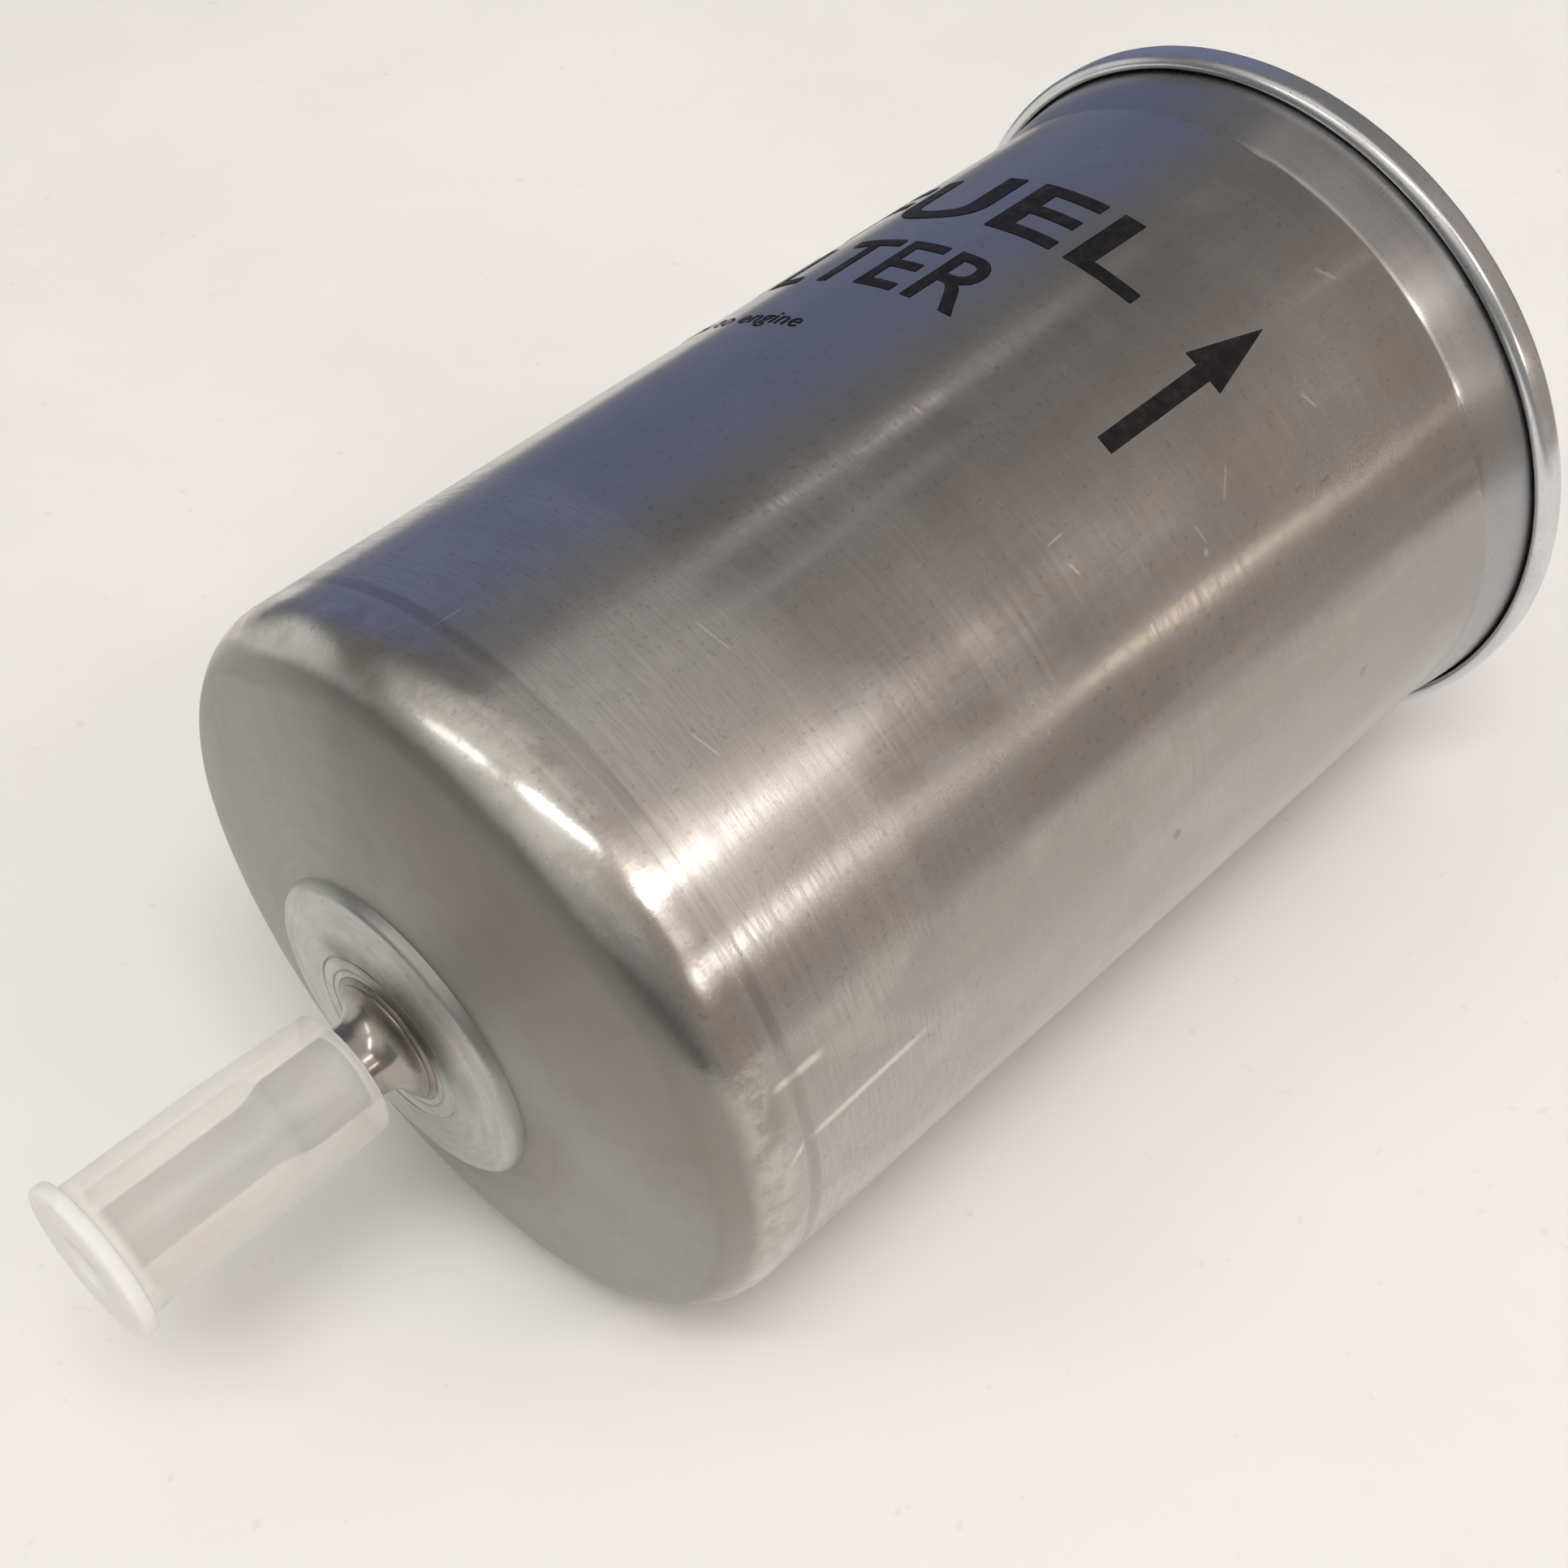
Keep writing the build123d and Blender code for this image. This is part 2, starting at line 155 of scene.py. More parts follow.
def lathe(name, profile, body, nodes, material, turns, dent=None, sharp=32.0):
    """A closed solid turned about X; its profile may run either way round, and r = 0 makes a pole."""
    prof = np.array(profile, float)
    area = 0.5 * np.sum(prof[:, 0] * np.roll(prof[:, 1], -1) - np.roll(prof[:, 0], -1) * prof[:, 1])
    if area < 0:
        prof = prof[::-1].copy()
    count = len(prof)
    step = np.linalg.norm(prof - np.roll(prof, 1, 0), axis=1)
    along = np.cumsum(step)
    # outward normals of the profile, for dents
    tangent = np.roll(prof, -1, 0) - np.roll(prof, 1, 0)
    tangent /= np.maximum(np.linalg.norm(tangent, axis=1), 1e-9)[:, None]
    normal = np.stack([tangent[:, 1], -tangent[:, 0]], 1)
    angles = np.linspace(0, 2 * math.pi, turns, endpoint=False) - math.pi / 2
    verts, rings, arcs = [], [], []
    for i, (x, r) in enumerate(prof):
        if r < ON_AXIS:
            rings.append([len(verts)] * turns)
            verts.append((x, 0.0, 0.0))
            arcs.append(along[i])
            continue
        rings.append(list(range(len(verts), len(verts) + turns)))
        for a in angles:
            push = dent(x, r, a) if dent else 0.0
            xx, rr = x + normal[i, 0] * push, r + normal[i, 1] * push
            verts.append((xx, rr * math.cos(a), rr * math.sin(a)))
            arcs.append(along[i])
    faces = []
    for i in range(count):
        j = (i + 1) % count
        if prof[i, 1] < ON_AXIS and prof[j, 1] < ON_AXIS:
            continue
        for k in range(turns):
            m = (k + 1) % turns
            quad = [rings[i][k], rings[j][k], rings[j][m], rings[i][m]]
            corners = list(dict.fromkeys(quad))
            if len(corners) > 2:
                faces.append(corners)
    mesh = bpy.data.meshes.new(name)
    mesh.from_pydata([tuple(c * MM for c in v) for v in verts], [], faces)
    mesh.attributes.new("along", "FLOAT", "POINT").data.foreach_set("value", np.array(arcs, np.float32) * MM)
    mesh.validate()
    dress(name, mesh, body, nodes, material, sharp)


def dress(name, mesh, body, nodes, material, sharp):
    """Turns a mesh into a piece: smooth shading, its material and the body it rides on; the CAD parts that it stands
    for are hidden.
    """
    shade(mesh, sharp)
    mesh.materials.append(material)
    piece = bpy.data.objects.new(name, mesh)
    scene.collection.objects.link(piece)
    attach(piece, body)
    if nodes:
        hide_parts(*nodes)


# ---- materials ----
COLOUR_A, COLOUR_B, COLOUR_OUT = 6, 7, 2  # a Mix node's sockets for colours


def put(tree, socket, value):
    """Links an output to the socket, or sets the socket's own constant."""
    if hasattr(value, "is_output"):
        tree.links.new(value, socket)
    else:
        socket.default_value = value


class Net:
    """A node tree with one Principled shader and short names for the nodes used here."""

    def __init__(self, name, **values):
        self.material = bpy.data.materials.new(name)
        self.material.use_nodes = True
        self.tree = self.material.node_tree
        self.tree.nodes.clear()
        output = self.tree.nodes.new("ShaderNodeOutputMaterial")
        self.shader = self.tree.nodes.new("ShaderNodeBsdfPrincipled")
        self.tree.links.new(self.shader.outputs[0], output.inputs[0])
        for key, value in values.items():
            self.shader.inputs[key.replace("_", " ")].default_value = value
        self.coords = self.tree.nodes.new("ShaderNodeTexCoord").outputs["Object"]

    def put(self, socket, value):
        put(self.tree, socket, value)

    def to(self, name, value):
        self.put(self.shader.inputs[name], value)

    def math(self, operation, a, b=0.0, clamp=False):
        node = self.tree.nodes.new("ShaderNodeMath")
        node.operation, node.use_clamp = operation, clamp
        self.put(node.inputs[0], a)
        self.put(node.inputs[1], b)
        return node.outputs[0]

    def add(self, a, b):
        return self.math("ADD", a, b)

    def times(self, *factors):
        product = factors[0]
        for factor in factors[1:]:
            product = self.math("MULTIPLY", product, factor)
        return product

    def off(self, value, middle):
        """How far a value lies from the middle, either way."""
        return self.math("ABSOLUTE", self.math("SUBTRACT", value, middle))

    def vector(self, operation, a, b=(0, 0, 0)):
        node = self.tree.nodes.new("ShaderNodeVectorMath")
        node.operation = operation
        self.put(node.inputs[0], a)
        self.put(node.inputs[1], b)
        return node.outputs["Value" if operation in ("LENGTH", "DOT_PRODUCT") else "Vector"]

    def split(self, vector):
        node = self.tree.nodes.new("ShaderNodeSeparateXYZ")
        self.put(node.inputs[0], vector)
        return node.outputs

    def join(self, x, y, z):
        node = self.tree.nodes.new("ShaderNodeCombineXYZ")
        for socket, value in zip(node.inputs, (x, y, z)):
            self.put(socket, value)
        return node.outputs[0]

    def attribute(self, name):
        node = self.tree.nodes.new("ShaderNodeAttribute")
        node.attribute_name = name
        return node.outputs["Fac"]

    def noise(self, vector, scale=1.0, detail=3.0, rough=0.5, distort=0.0):
        node = self.tree.nodes.new("ShaderNodeTexNoise")
        self.put(node.inputs["Vector"], vector)
        node.inputs["Scale"].default_value = scale
        node.inputs["Detail"].default_value = detail
        node.inputs["Roughness"].default_value = rough
        node.inputs["Distortion"].default_value = distort
        return node.outputs["Fac"]

    def map(self, value, low, high, to_low=0.0, to_high=1.0, smooth=True):
        node = self.tree.nodes.new("ShaderNodeMapRange")
        node.interpolation_type = "SMOOTHSTEP" if smooth else "LINEAR"
        self.put(node.inputs["Value"], value)
        for key, number in (("From Min", low), ("From Max", high), ("To Min", to_low), ("To Max", to_high)):
            self.put(node.inputs[key], number)
        return node.outputs[0]

    def mix(self, factor, a, b, blend="MIX"):
        node = self.tree.nodes.new("ShaderNodeMix")
        node.data_type, node.blend_type = "RGBA", blend
        self.put(node.inputs["Factor"], factor)
        for socket, value in ((node.inputs[COLOUR_A], a), (node.inputs[COLOUR_B], b)):
            self.put(socket, (*value, 1.0) if isinstance(value, tuple) else value)
        return node.outputs[COLOUR_OUT]

    def bump(self, height, distance_mm, normal=None):
        node = self.tree.nodes.new("ShaderNodeBump")
        node.inputs["Strength"].default_value = 1.0
        node.inputs["Distance"].default_value = distance_mm * MM
        self.put(node.inputs["Height"], height)
        if normal is not None:
            self.put(node.inputs["Normal"], normal)
        return node.outputs[0]

    def round_axis(self):
        """Anisotropy follows the rings that turning leaves about the X axis."""
        node = self.tree.nodes.new("ShaderNodeTangent")
        node.direction_type, node.axis = "RADIAL", "X"
        self.tree.links.new(node.outputs[0], self.shader.inputs["Tangent"])


def turned_coords(net):
    """(along the profile, cos, sin): noise on it has no seam and follows the turned surface."""
    _, y, z = net.split(net.coords)
    spoke = net.vector("NORMALIZE", net.join(0.0, y, z))
    _, cosine, sine = net.split(spoke)
    return net.join(net.attribute("along"), cosine, sine)


def rings(net, coords, fineness, slow):
    """Fine lines that run round the axis: fast along the profile, slow round it."""
    return net.noise(net.vector("MULTIPLY", coords, (fineness, slow, slow)), rough=0.6)


def draws(net, coords, slow, fineness):
    """Lines along the axis, as drawing and ironing leave."""
    return net.noise(net.vector("MULTIPLY", coords, (slow, fineness, fineness)), rough=0.6)


# Light lines on the wall, scratches and painted highlight streaks: from x to x, from polar to polar angle, half width;
# lengths in mm.
MARKS = [
    (-2.9, -2.4, 130.6, 133.0, 0.10),
    (-3.8, -1.2, 127.2, 127.0, 0.07),
    (-54.0, -50.0, 86.8, 87.0, 0.07),
    (11.6, 12.3, 141.4, 141.0, 0.20),
    (12.2, 12.6, 137.0, 140.4, 0.06),
    (32.7, 33.6, 131.6, 134.6, 0.12),
    (17.0, 19.5, 137.0, 133.0, 0.12),
    (44.5, 46.0, 118.0, 121.5, 0.20),
    # the next three long lines along the axis are painted highlight streaks, not scratches
    (-56.0, -49.0, 162.6, 162.6, 0.26),
    (-53.5, -37.5, 173.6, 172.4, 0.24),
    (-57.0, -53.5, 177.0, 173.6, 0.24),
    (-44.5, -43.6, 119.0, 124.0, 0.06),
    (-36.8, -36.2, 108.0, 114.0, 0.06),
]
PITS = [(-1.5, 177.0), (30.0, 177.0)]  # x and polar angle of two dark pits
DARK_REFLECTION_SIDE = (0.0, -0.35, 0.94)  # across the axis, the side of the spigot's foot with a painted dark reflection
SHADED_SIDE = (0.0, -0.6, 0.8)  # across the axis, the side where the crown is painted darker, as painted shade
SCRIBED_SHADE_RINGS = ((6.95, 0.95), (7.8, 0.8), (9.3, 0.6))  # radius in mm and strength of the painted shade in each scribed ring

WALL_TONES = ((0.475, 0.453, 0.437), (0.55, 0.53, 0.512))
ROLLED_TONE, BRUSHED_TONE, HAIR_TONE = (0.49, 0.48, 0.475), (0.66, 0.64, 0.615), (0.36, 0.345, 0.33)
# the low tones paint a dark reflection low on the can's side
LOW_REFLECTION_TONE, LOW_END_REFLECTION_TONE, BLOOM_TONE = (0.325, 0.305, 0.285), (0.32, 0.295, 0.275), (0.42, 0.425, 0.42)
# the scratch tone also paints highlight streaks
SCRATCH_AND_HIGHLIGHT_TONE, PIT_TONE, FLARE_TONE = (0.92, 0.90, 0.87), (0.25, 0.235, 0.22), (0.41, 0.41, 0.415)
CROWN_TONES = ((0.325, 0.325, 0.305), (0.375, 0.370, 0.345))
# painted shade on one side of the crown and below the boss, and a painted dark reflection in a ring by the crown's edge
SHADED_TONE, RING_REFLECTION_TONE, BELOW_BOSS_SHADE_TONE = (0.275, 0.262, 0.242), (0.27, 0.255, 0.24), (0.25, 0.24, 0.22)
BOSS_TONES = ((0.45, 0.45, 0.44), (0.54, 0.54, 0.525))
# a painted dark reflection beside the spigot's foot, and painted shade in the scribed rings
DARK_REFLECTION_TONE, SCRIBED_SHADE_TONE, BOSS_EDGE_TONE = (0.21, 0.195, 0.18), (0.12, 0.11, 0.10), (0.27, 0.26, 0.25)
KNUCKLE_TONES = ((0.60, 0.58, 0.555), (0.47, 0.44, 0.41))
# painted dark reflection on the knuckle's low side, and painted shade in the groove
LOW_KNUCKLE_REFLECTION_TONE, GROOVE_SHADE_TONE, SPECK_TONE = (0.31, 0.29, 0.27), (0.30, 0.285, 0.27), (0.30, 0.27, 0.25)
FOOT_TONE, DARK_SPECK_TONE = (0.24, 0.22, 0.205), (0.22, 0.20, 0.19)
THIN_CAP_TONES, SOLID_CAP_TONE = ((0.89, 0.825, 0.775), (0.93, 0.87, 0.82)), (0.93, 0.895, 0.865)
LID_TONE, WELD_TONE = (0.70, 0.705, 0.72), (0.29, 0.26, 0.24)
SPIGOT_TONE, NOSE_TONE = (0.40, 0.37, 0.35), (0.225, 0.285, 0.325)
INK_TONES = ((0.006, 0.0055, 0.006), (0.019, 0.017, 0.0175))
FLOOR_TONES, FLECK_TONE = ((0.83, 0.815, 0.805), (0.86, 0.845, 0.835)), (0.62, 0.60, 0.58)


def mark(net, x, polar, x0, x1, polar0, polar1, half):
    """Half strength on a straight thin line of the wall, 0 off it."""
    start, stop = math.radians(polar0), math.radians(polar1)
    if abs(x1 - x0) > abs(stop - start) * CAN_R:
        share = net.map(x, x0 * MM, x1 * MM, smooth=False)
        off = net.math("SUBTRACT", polar, net.map(share, 0, 1, start, stop, smooth=False))
        off = net.times(off, CAN_R * MM)
        middle, reach, place = (x0 + x1) / 2 * MM, (x1 - x0) * MM, x
    else:
        share = net.map(polar, start, stop, smooth=False)
        off = net.math("SUBTRACT", x, net.map(share, 0, 1, x0 * MM, x1 * MM, smooth=False))
        middle, reach, place = (start + stop) / 2, abs(stop - start), polar
    inside = net.map(net.off(place, middle), reach * 0.55, reach * 0.3)
    line = net.map(net.math("ABSOLUTE", off), half * 2.4 * MM, half * 0.4 * MM, 0.0, 0.5)
    return net.times(line, inside)


class CanNet(Net):
    """The can's node tree, with the patterns and places that its colour and its roughness share."""

    def __init__(self):
        super().__init__("can_steel", Metallic=1.0, Anisotropic=0.4, Anisotropic_Rotation=0.25)
        self.round_axis()
        turned = turned_coords(self)
        self.x, y, z = self.split(self.coords)
        self.r = self.vector("LENGTH", self.join(0.0, y, z))
        half_turn_back = self.math("ARCTAN2", self.times(z, -1.0), self.times(y, -1.0))
        self.polar = self.add(half_turn_back, math.pi)

        self.cloud = self.noise(self.coords, scale=45, detail=4, rough=0.6)
        self.grime = self.noise(self.coords, scale=190, detail=5, rough=0.7)
        self.speck = self.noise(self.coords, scale=1500, detail=2)
        stretched = self.vector("MULTIPLY", self.coords, (1.0, 2.2, 2.2))
        self.bloom = self.noise(stretched, scale=60, detail=4, rough=0.62, distort=0.8)
        self.fine = rings(self, turned, 9000, 3.0)
        self.coarse = rings(self, turned, 1500, 2.0)
        self.drawn = draws(self, turned, 8, 160)
        self.broad = draws(self, turned, 4, 26)
        hairs = self.noise(self.vector("MULTIPLY", turned, (3600, 9, 9)), detail=3, rough=0.65)
        wiped = self.vector("MULTIPLY", turned, (800, 2.2, 2.2))
        self.wipe = self.noise(wiped, detail=3, rough=0.6, distort=0.4)
        self.frayed = self.add(self.r, self.times(self.math("SUBTRACT", self.grime, 0.5), 1.2 * MM))

        # places: 1 inside, 0 outside
        self.inlet_end = self.along(-54.5, -57.5)
        self.crown = self.times(self.outward(39.6, 36.4, of=self.frayed), self.inlet_end)
        self.boss = self.times(self.outward(16.75, 16.3), self.along(0.0, -50))
        self.knuckle = self.times(self.along(-54.0, -56.0), self.math("SUBTRACT", 1.0, self.crown, clamp=True))
        self.wall = self.along(-55.5, -53.5)
        self.hairs = self.times(self.wall, self.along(-31, -35, 0.55, 1.0), self.map(hairs, 0.35, 0.7, 0.0, 0.42))
        self.underside = self.around(330, 230)
        # the low band of the side, where a dark reflection is painted
        self.low = self.times(self.around(153, 161), self.around(180, 164, 0.4, 1.0), self.underside)

    def along(self, low, high, *to):
        """A ramp between two x, in mm."""
        return self.map(self.x, low * MM, high * MM, *to)

    def outward(self, low, high, *to, of=None):
        """A ramp between two radii, in mm."""
        return self.map(self.r if of is None else of, low * MM, high * MM, *to)

    def around(self, low, high, *to):
        """A ramp between two polar angles, in degrees from +Y through +Z."""
        return self.map(self.polar, math.radians(low), math.radians(high), *to)


def wall_colour(net):
    """Rolled and brushed steel with a painted dark reflection low on its side, deeper towards the lid, and with
    scratches, painted highlight streaks and two pits.
    """
    colour = net.mix(net.map(net.cloud, 0.3, 0.7), *WALL_TONES)
    colour = net.mix(net.map(net.broad, 0.35, 0.65, 0.0, 0.5), colour, ROLLED_TONE)
    colour = net.mix(net.times(net.along(-31, -35, 0.0, 0.55), net.wall), colour, BRUSHED_TONE)
    colour = net.mix(net.hairs, colour, HAIR_TONE)
    # painted dark reflection on the low band of the side
    colour = net.mix(net.times(net.low, net.map(net.bloom, 0.3, 0.7, 0.5, 1.0)), colour, LOW_REFLECTION_TONE)
    # painted dark reflection, deeper towards the lid on the low side
    low_end_reflection = net.times(net.around(162, 178), net.underside, net.along(10, 50, 0.0, 0.85))
    colour = net.mix(low_end_reflection, colour, LOW_END_REFLECTION_TONE)
    colour = net.mix(net.map(net.bloom, 0.42, 0.65, 0.0, 0.42), colour, BLOOM_TONE)
    # scratches, and painted highlight streaks
    for line in MARKS:
        colour = net.mix(mark(net, net.x, net.polar, *line), colour, SCRATCH_AND_HIGHLIGHT_TONE)
    for pit_x, pit_polar in PITS:
        sideways = net.times(net.math("SUBTRACT", net.polar, math.radians(pit_polar)), CAN_R * MM)
        spread = net.join(net.math("SUBTRACT", net.x, pit_x * MM), sideways, 0.0)
        pit = net.outward(0.9, 0.3, 0.0, 0.6, of=net.vector("LENGTH", spread))
        colour = net.mix(pit, colour, PIT_TONE)
    return net.mix(net.along(51.5, 53.5), colour, FLARE_TONE)


def crown_colour(net, edge_r):
    """The dull dome, with painted shade on one side, a painted dark reflection in a ring by its edge, and painted shade
    below the boss.
    """
    # a ring by the crown's edge painted darker, as a painted dark reflection
    ring_reflection = net.times(net.map(net.off(edge_r, 38.0 * MM), 1.8 * MM, 0.9 * MM), net.inlet_end)
    # painted shade on one side of the crown
    shaded = net.map(net.vector("DOT_PRODUCT", net.coords, SHADED_SIDE), 15 * MM, 29 * MM, 0.0, 0.8)
    # painted shade on the crown below the boss
    below_boss_shade = net.times(net.outward(25, 18, 0.0, 0.6), net.around(160, 190), net.around(280, 250))
    colour = net.mix(net.map(net.cloud, 0.3, 0.7), *CROWN_TONES)
    colour = net.mix(shaded, colour, SHADED_TONE)
    colour = net.mix(net.times(ring_reflection, 0.5), colour, RING_REFLECTION_TONE)
    return net.mix(below_boss_shade, colour, BELOW_BOSS_SHADE_TONE)


def boss_colour(net):
    """The wiped boss: a painted dark reflection beside the spigot's foot, scribed rings darkened as painted shade, and
    a duller edge.
    """
    colour = net.mix(net.map(net.wipe, 0.3, 0.7), *BOSS_TONES)
    # painted dark reflection beside the spigot's foot
    dark_reflection = net.map(net.vector("DOT_PRODUCT", net.coords, DARK_REFLECTION_SIDE), 1.5 * MM, 7 * MM)
    near_foot = net.outward(13.5, 9.5, of=net.frayed)
    colour = net.mix(net.times(dark_reflection, near_foot, net.map(net.grime, 0.35, 0.6, 0.45, 0.85)), colour, DARK_REFLECTION_TONE)
    # painted shade in the scribed rings and at the weld's foot
    for radius, strength in SCRIBED_SHADE_RINGS:
        line = net.map(net.off(net.r, radius * MM), 0.20 * MM, 0.07 * MM)
        worn = net.map(net.cloud, 0.42, 0.58, 0.4 * strength, strength)
        colour = net.mix(net.times(line, worn), colour, SCRIBED_SHADE_TONE)
    return net.mix(net.outward(15.9, 16.3, 0.0, 0.35), colour, BOSS_EDGE_TONE)


def can_steel():
    """Drawn steel: a matt crown, a wiped boss, a scuffed knuckle and a brushed, rolled wall."""
    net = CanNet()
    lit_side = net.times(net.around(148, 126), net.around(40, 66))
    edge_r = net.add(net.frayed, net.times(lit_side, 1.8 * MM))  # on the side towards the lamps the crown's dull colour ends sooner, as a painted sheen
    knuckle = net.mix(net.map(net.grime, 0.40, 0.66), *KNUCKLE_TONES)
    # painted dark reflection on the knuckle's low side
    knuckle = net.mix(net.times(net.low, net.map(net.grime, 0.42, 0.6, 0.5, 0.9)), knuckle, LOW_KNUCKLE_REFLECTION_TONE)
    colour = net.mix(net.knuckle, wall_colour(net), knuckle)
    dull = net.times(net.outward(39.7, 38.7, of=edge_r), net.inlet_end)
    colour = net.mix(dull, colour, crown_colour(net, edge_r))
    colour = net.mix(net.boss, colour, boss_colour(net))
    # painted shade in the shallow groove behind the knuckle
    groove = net.map(net.off(net.x, -52.9 * MM), 1.0 * MM, 0.3 * MM, 0.0, 0.5)
    colour = net.mix(net.times(groove, net.outward(39, 39.6)), colour, GROOVE_SHADE_TONE)
    net.to("Base Color", net.mix(net.map(net.speck, 0.62, 0.72, 0.0, 0.35), colour, SPECK_TONE))

    rough = net.map(net.coarse, 0.25, 0.75, 0.15, 0.21, smooth=False)
    for more in (
        net.map(net.drawn, 0.3, 0.7, -0.015, 0.02, smooth=False),
        net.map(net.cloud, 0.35, 0.7, -0.01, 0.04),
        net.times(net.hairs, 0.12),
        net.map(net.bloom, 0.45, 0.7, 0.0, 0.05),
        net.along(52, 54, 0.0, 0.10),
        net.times(net.wall, net.along(-28, -36, 0.0, 0.03)),
        net.times(net.crown, 0.27),
        net.times(net.boss, net.map(net.wipe, 0.3, 0.7, -0.08, -0.12)),
        net.times(net.knuckle, net.map(net.grime, 0.42, 0.65, -0.02, 0.06)),
    ):
        rough = net.add(rough, more)
    net.to("Roughness", rough)
    normal = net.bump(net.fine, 0.0008)
    normal = net.bump(net.drawn, 0.0015, normal=normal)
    normal = net.bump(net.times(net.grime, net.map(net.knuckle, 0.0, 1.0, 0.15, 1.0)), 0.02, normal=normal)
    net.to("Normal", net.bump(net.times(net.speck, net.knuckle), 0.006, normal=normal))
    return net.material


def cap_out(net, x):
    """Distance outwards from the nearer boss face."""
    return net.math("SUBTRACT", net.off(x, CAPS_MIDDLE * MM), CAPS_HALF * MM)


def bright_steel(name, tone, rough_low, rough_high, fineness, grime_share=0.25, nose_tone=None):
    """Turned or rolled bright steel with rings, smudges and dull specks."""
    net = Net(name, Metallic=1.0, Anisotropic=0.35, Anisotropic_Rotation=0.25)
    net.round_axis()
    turned = turned_coords(net)
    line = rings(net, turned, fineness, 1.5)
    smudge = net.noise(net.coords, scale=120, detail=5, rough=0.65)
    speck = net.noise(net.coords, scale=2200, detail=2)
    if nose_tone:
        x, y, z = net.split(net.coords)
        nose = net.map(cap_out(net, x), (CAP_MOUTH - 1.0) * MM, CAP_MOUTH * MM)
        tone = net.mix(nose, tone, nose_tone)
        foot = net.map(net.vector("LENGTH", net.join(0.0, y, z)), 4.7 * MM, 5.8 * MM)
        tone = net.mix(net.times(foot, 0.8), tone, FOOT_TONE)
        net.to("Metallic", net.map(nose, 0.0, 1.0, 1.0, 0.6))
    dull = net.mix(1.0, tone, (0.72, 0.72, 0.72), "MULTIPLY")
    colour = net.mix(net.map(smudge, 0.45, 0.7, 0.0, grime_share * 2), tone, dull)
    net.to("Base Color", net.mix(net.map(speck, 0.64, 0.72, 0.0, 0.4), colour, DARK_SPECK_TONE))
    rough = net.map(line, 0.3, 0.7, rough_low, rough_high, smooth=False)
    rough = net.add(rough, net.map(smudge, 0.45, 0.7, 0.0, 0.08))
    if nose_tone:
        rough = net.add(net.add(rough, net.times(nose, 0.16)), net.times(foot, 0.10))
    net.to("Roughness", rough)
    normal = net.bump(line, 0.003)
    net.to("Normal", net.bump(smudge, 0.012, normal=normal))
    return net.material


def cap_plastic():
    """Thin milky plastic; its solid flange and closed end hide more of what is behind them."""
    net = Net("cap_plastic", IOR=1.5, Specular_IOR_Level=0.35, Subsurface_Weight=1.0, Subsurface_Scale=0.003)
    net.shader.inputs["Subsurface Radius"].default_value = (1.0, 0.9, 0.8)
    cloud = net.noise(net.coords, scale=160, detail=4, rough=0.6)
    flow = net.noise(net.vector("MULTIPLY", net.coords, (60, 420, 420)), detail=3)
    out = cap_out(net, net.split(net.coords)[0])
    solid = net.map(out, (CAP_BORE_END - 1.2) * MM, (CAP_BORE_END + 0.2) * MM)
    # the mouth's lip is whiter and less clear, a painted highlight on its edge
    lip_highlight = net.map(out, (CAP_MOUTH + 0.4) * MM, (CAP_MOUTH + 0.15) * MM)
    milky = net.add(net.map(flow, 0.3, 0.7, 0.26, 0.31), net.map(out, 10 * MM, 30 * MM, 0.0, 0.08))
    milky = net.add(milky, net.times(lip_highlight, 0.5))
    net.to("Alpha", net.math("ADD", milky, net.times(solid, 0.45), clamp=True))
    thin = net.mix(net.map(cloud, 0.3, 0.7), *THIN_CAP_TONES)
    net.to("Base Color", net.mix(net.math("MAXIMUM", solid, lip_highlight), thin, SOLID_CAP_TONE))
    net.to("Roughness", net.map(flow, 0.3, 0.7, 0.34, 0.42))
    net.to("Normal", net.bump(cloud, 0.004))
    return net.material


def print_ink():
    """Dull black print, slightly worn."""
    net = Net("print_ink", Metallic=0.0, Specular_IOR_Level=0.2)
    worn = net.noise(net.coords, scale=700, detail=5, rough=0.7)
    smear = net.noise(net.vector("MULTIPLY", net.coords, (900, 120, 120)), detail=3)
    net.to("Base Color", net.mix(net.map(worn, 0.4, 0.75), *INK_TONES))
    net.to("Roughness", net.map(smear, 0.3, 0.7, 0.42, 0.55))
    net.to("Normal", net.bump(worn, 0.004))
    return net.material


def plain_hidden(name, colour, dark, rough, scale, metallic=0.0, stretch=(1, 1, 1)):
    """Parts sealed inside the can: two-tone grain with its own roughness and bump."""
    net = Net(name, Metallic=metallic)
    grain = net.noise(net.vector("MULTIPLY", net.coords, stretch), scale=scale, detail=5, rough=0.65)
    net.to("Base Color", net.mix(net.map(grain, 0.3, 0.7), dark, colour))
    net.to("Roughness", net.map(grain, 0.3, 0.7, rough - 0.07, rough + 0.07))
    net.to("Normal", net.bump(grain, 0.03))
    return net.material


CAN = can_steel()
LID = bright_steel("lid_steel", LID_TONE, 0.17, 0.25, 5000)
SPIGOT = bright_steel("spigot_steel", SPIGOT_TONE, 0.15, 0.23, 7000, nose_tone=NOSE_TONE)
WELD = bright_steel("weld_steel", WELD_TONE, 0.25, 0.4, 4000, grime_share=0.45)
CAP = cap_plastic()
INK = print_ink()

# ---- the drawn can ----
CROWN_END = 180 - math.degrees(KNUCKLE_A)
SOFT_DENT, RIPPLE, BAND = 0.065, 0.03, 0.006  # greatest heights of the sheet's unevenness
BOSS_FADE, FLARE_FADE, FLARE_FADE_END = 6.0, 8.0, 6.0  # lengths over which it fades, and how far past the wall
SEAM_FLAT, BEAD_GRAIN = 0.02, 0.03  # greatest heights of the rim's flats and of the weld's grain


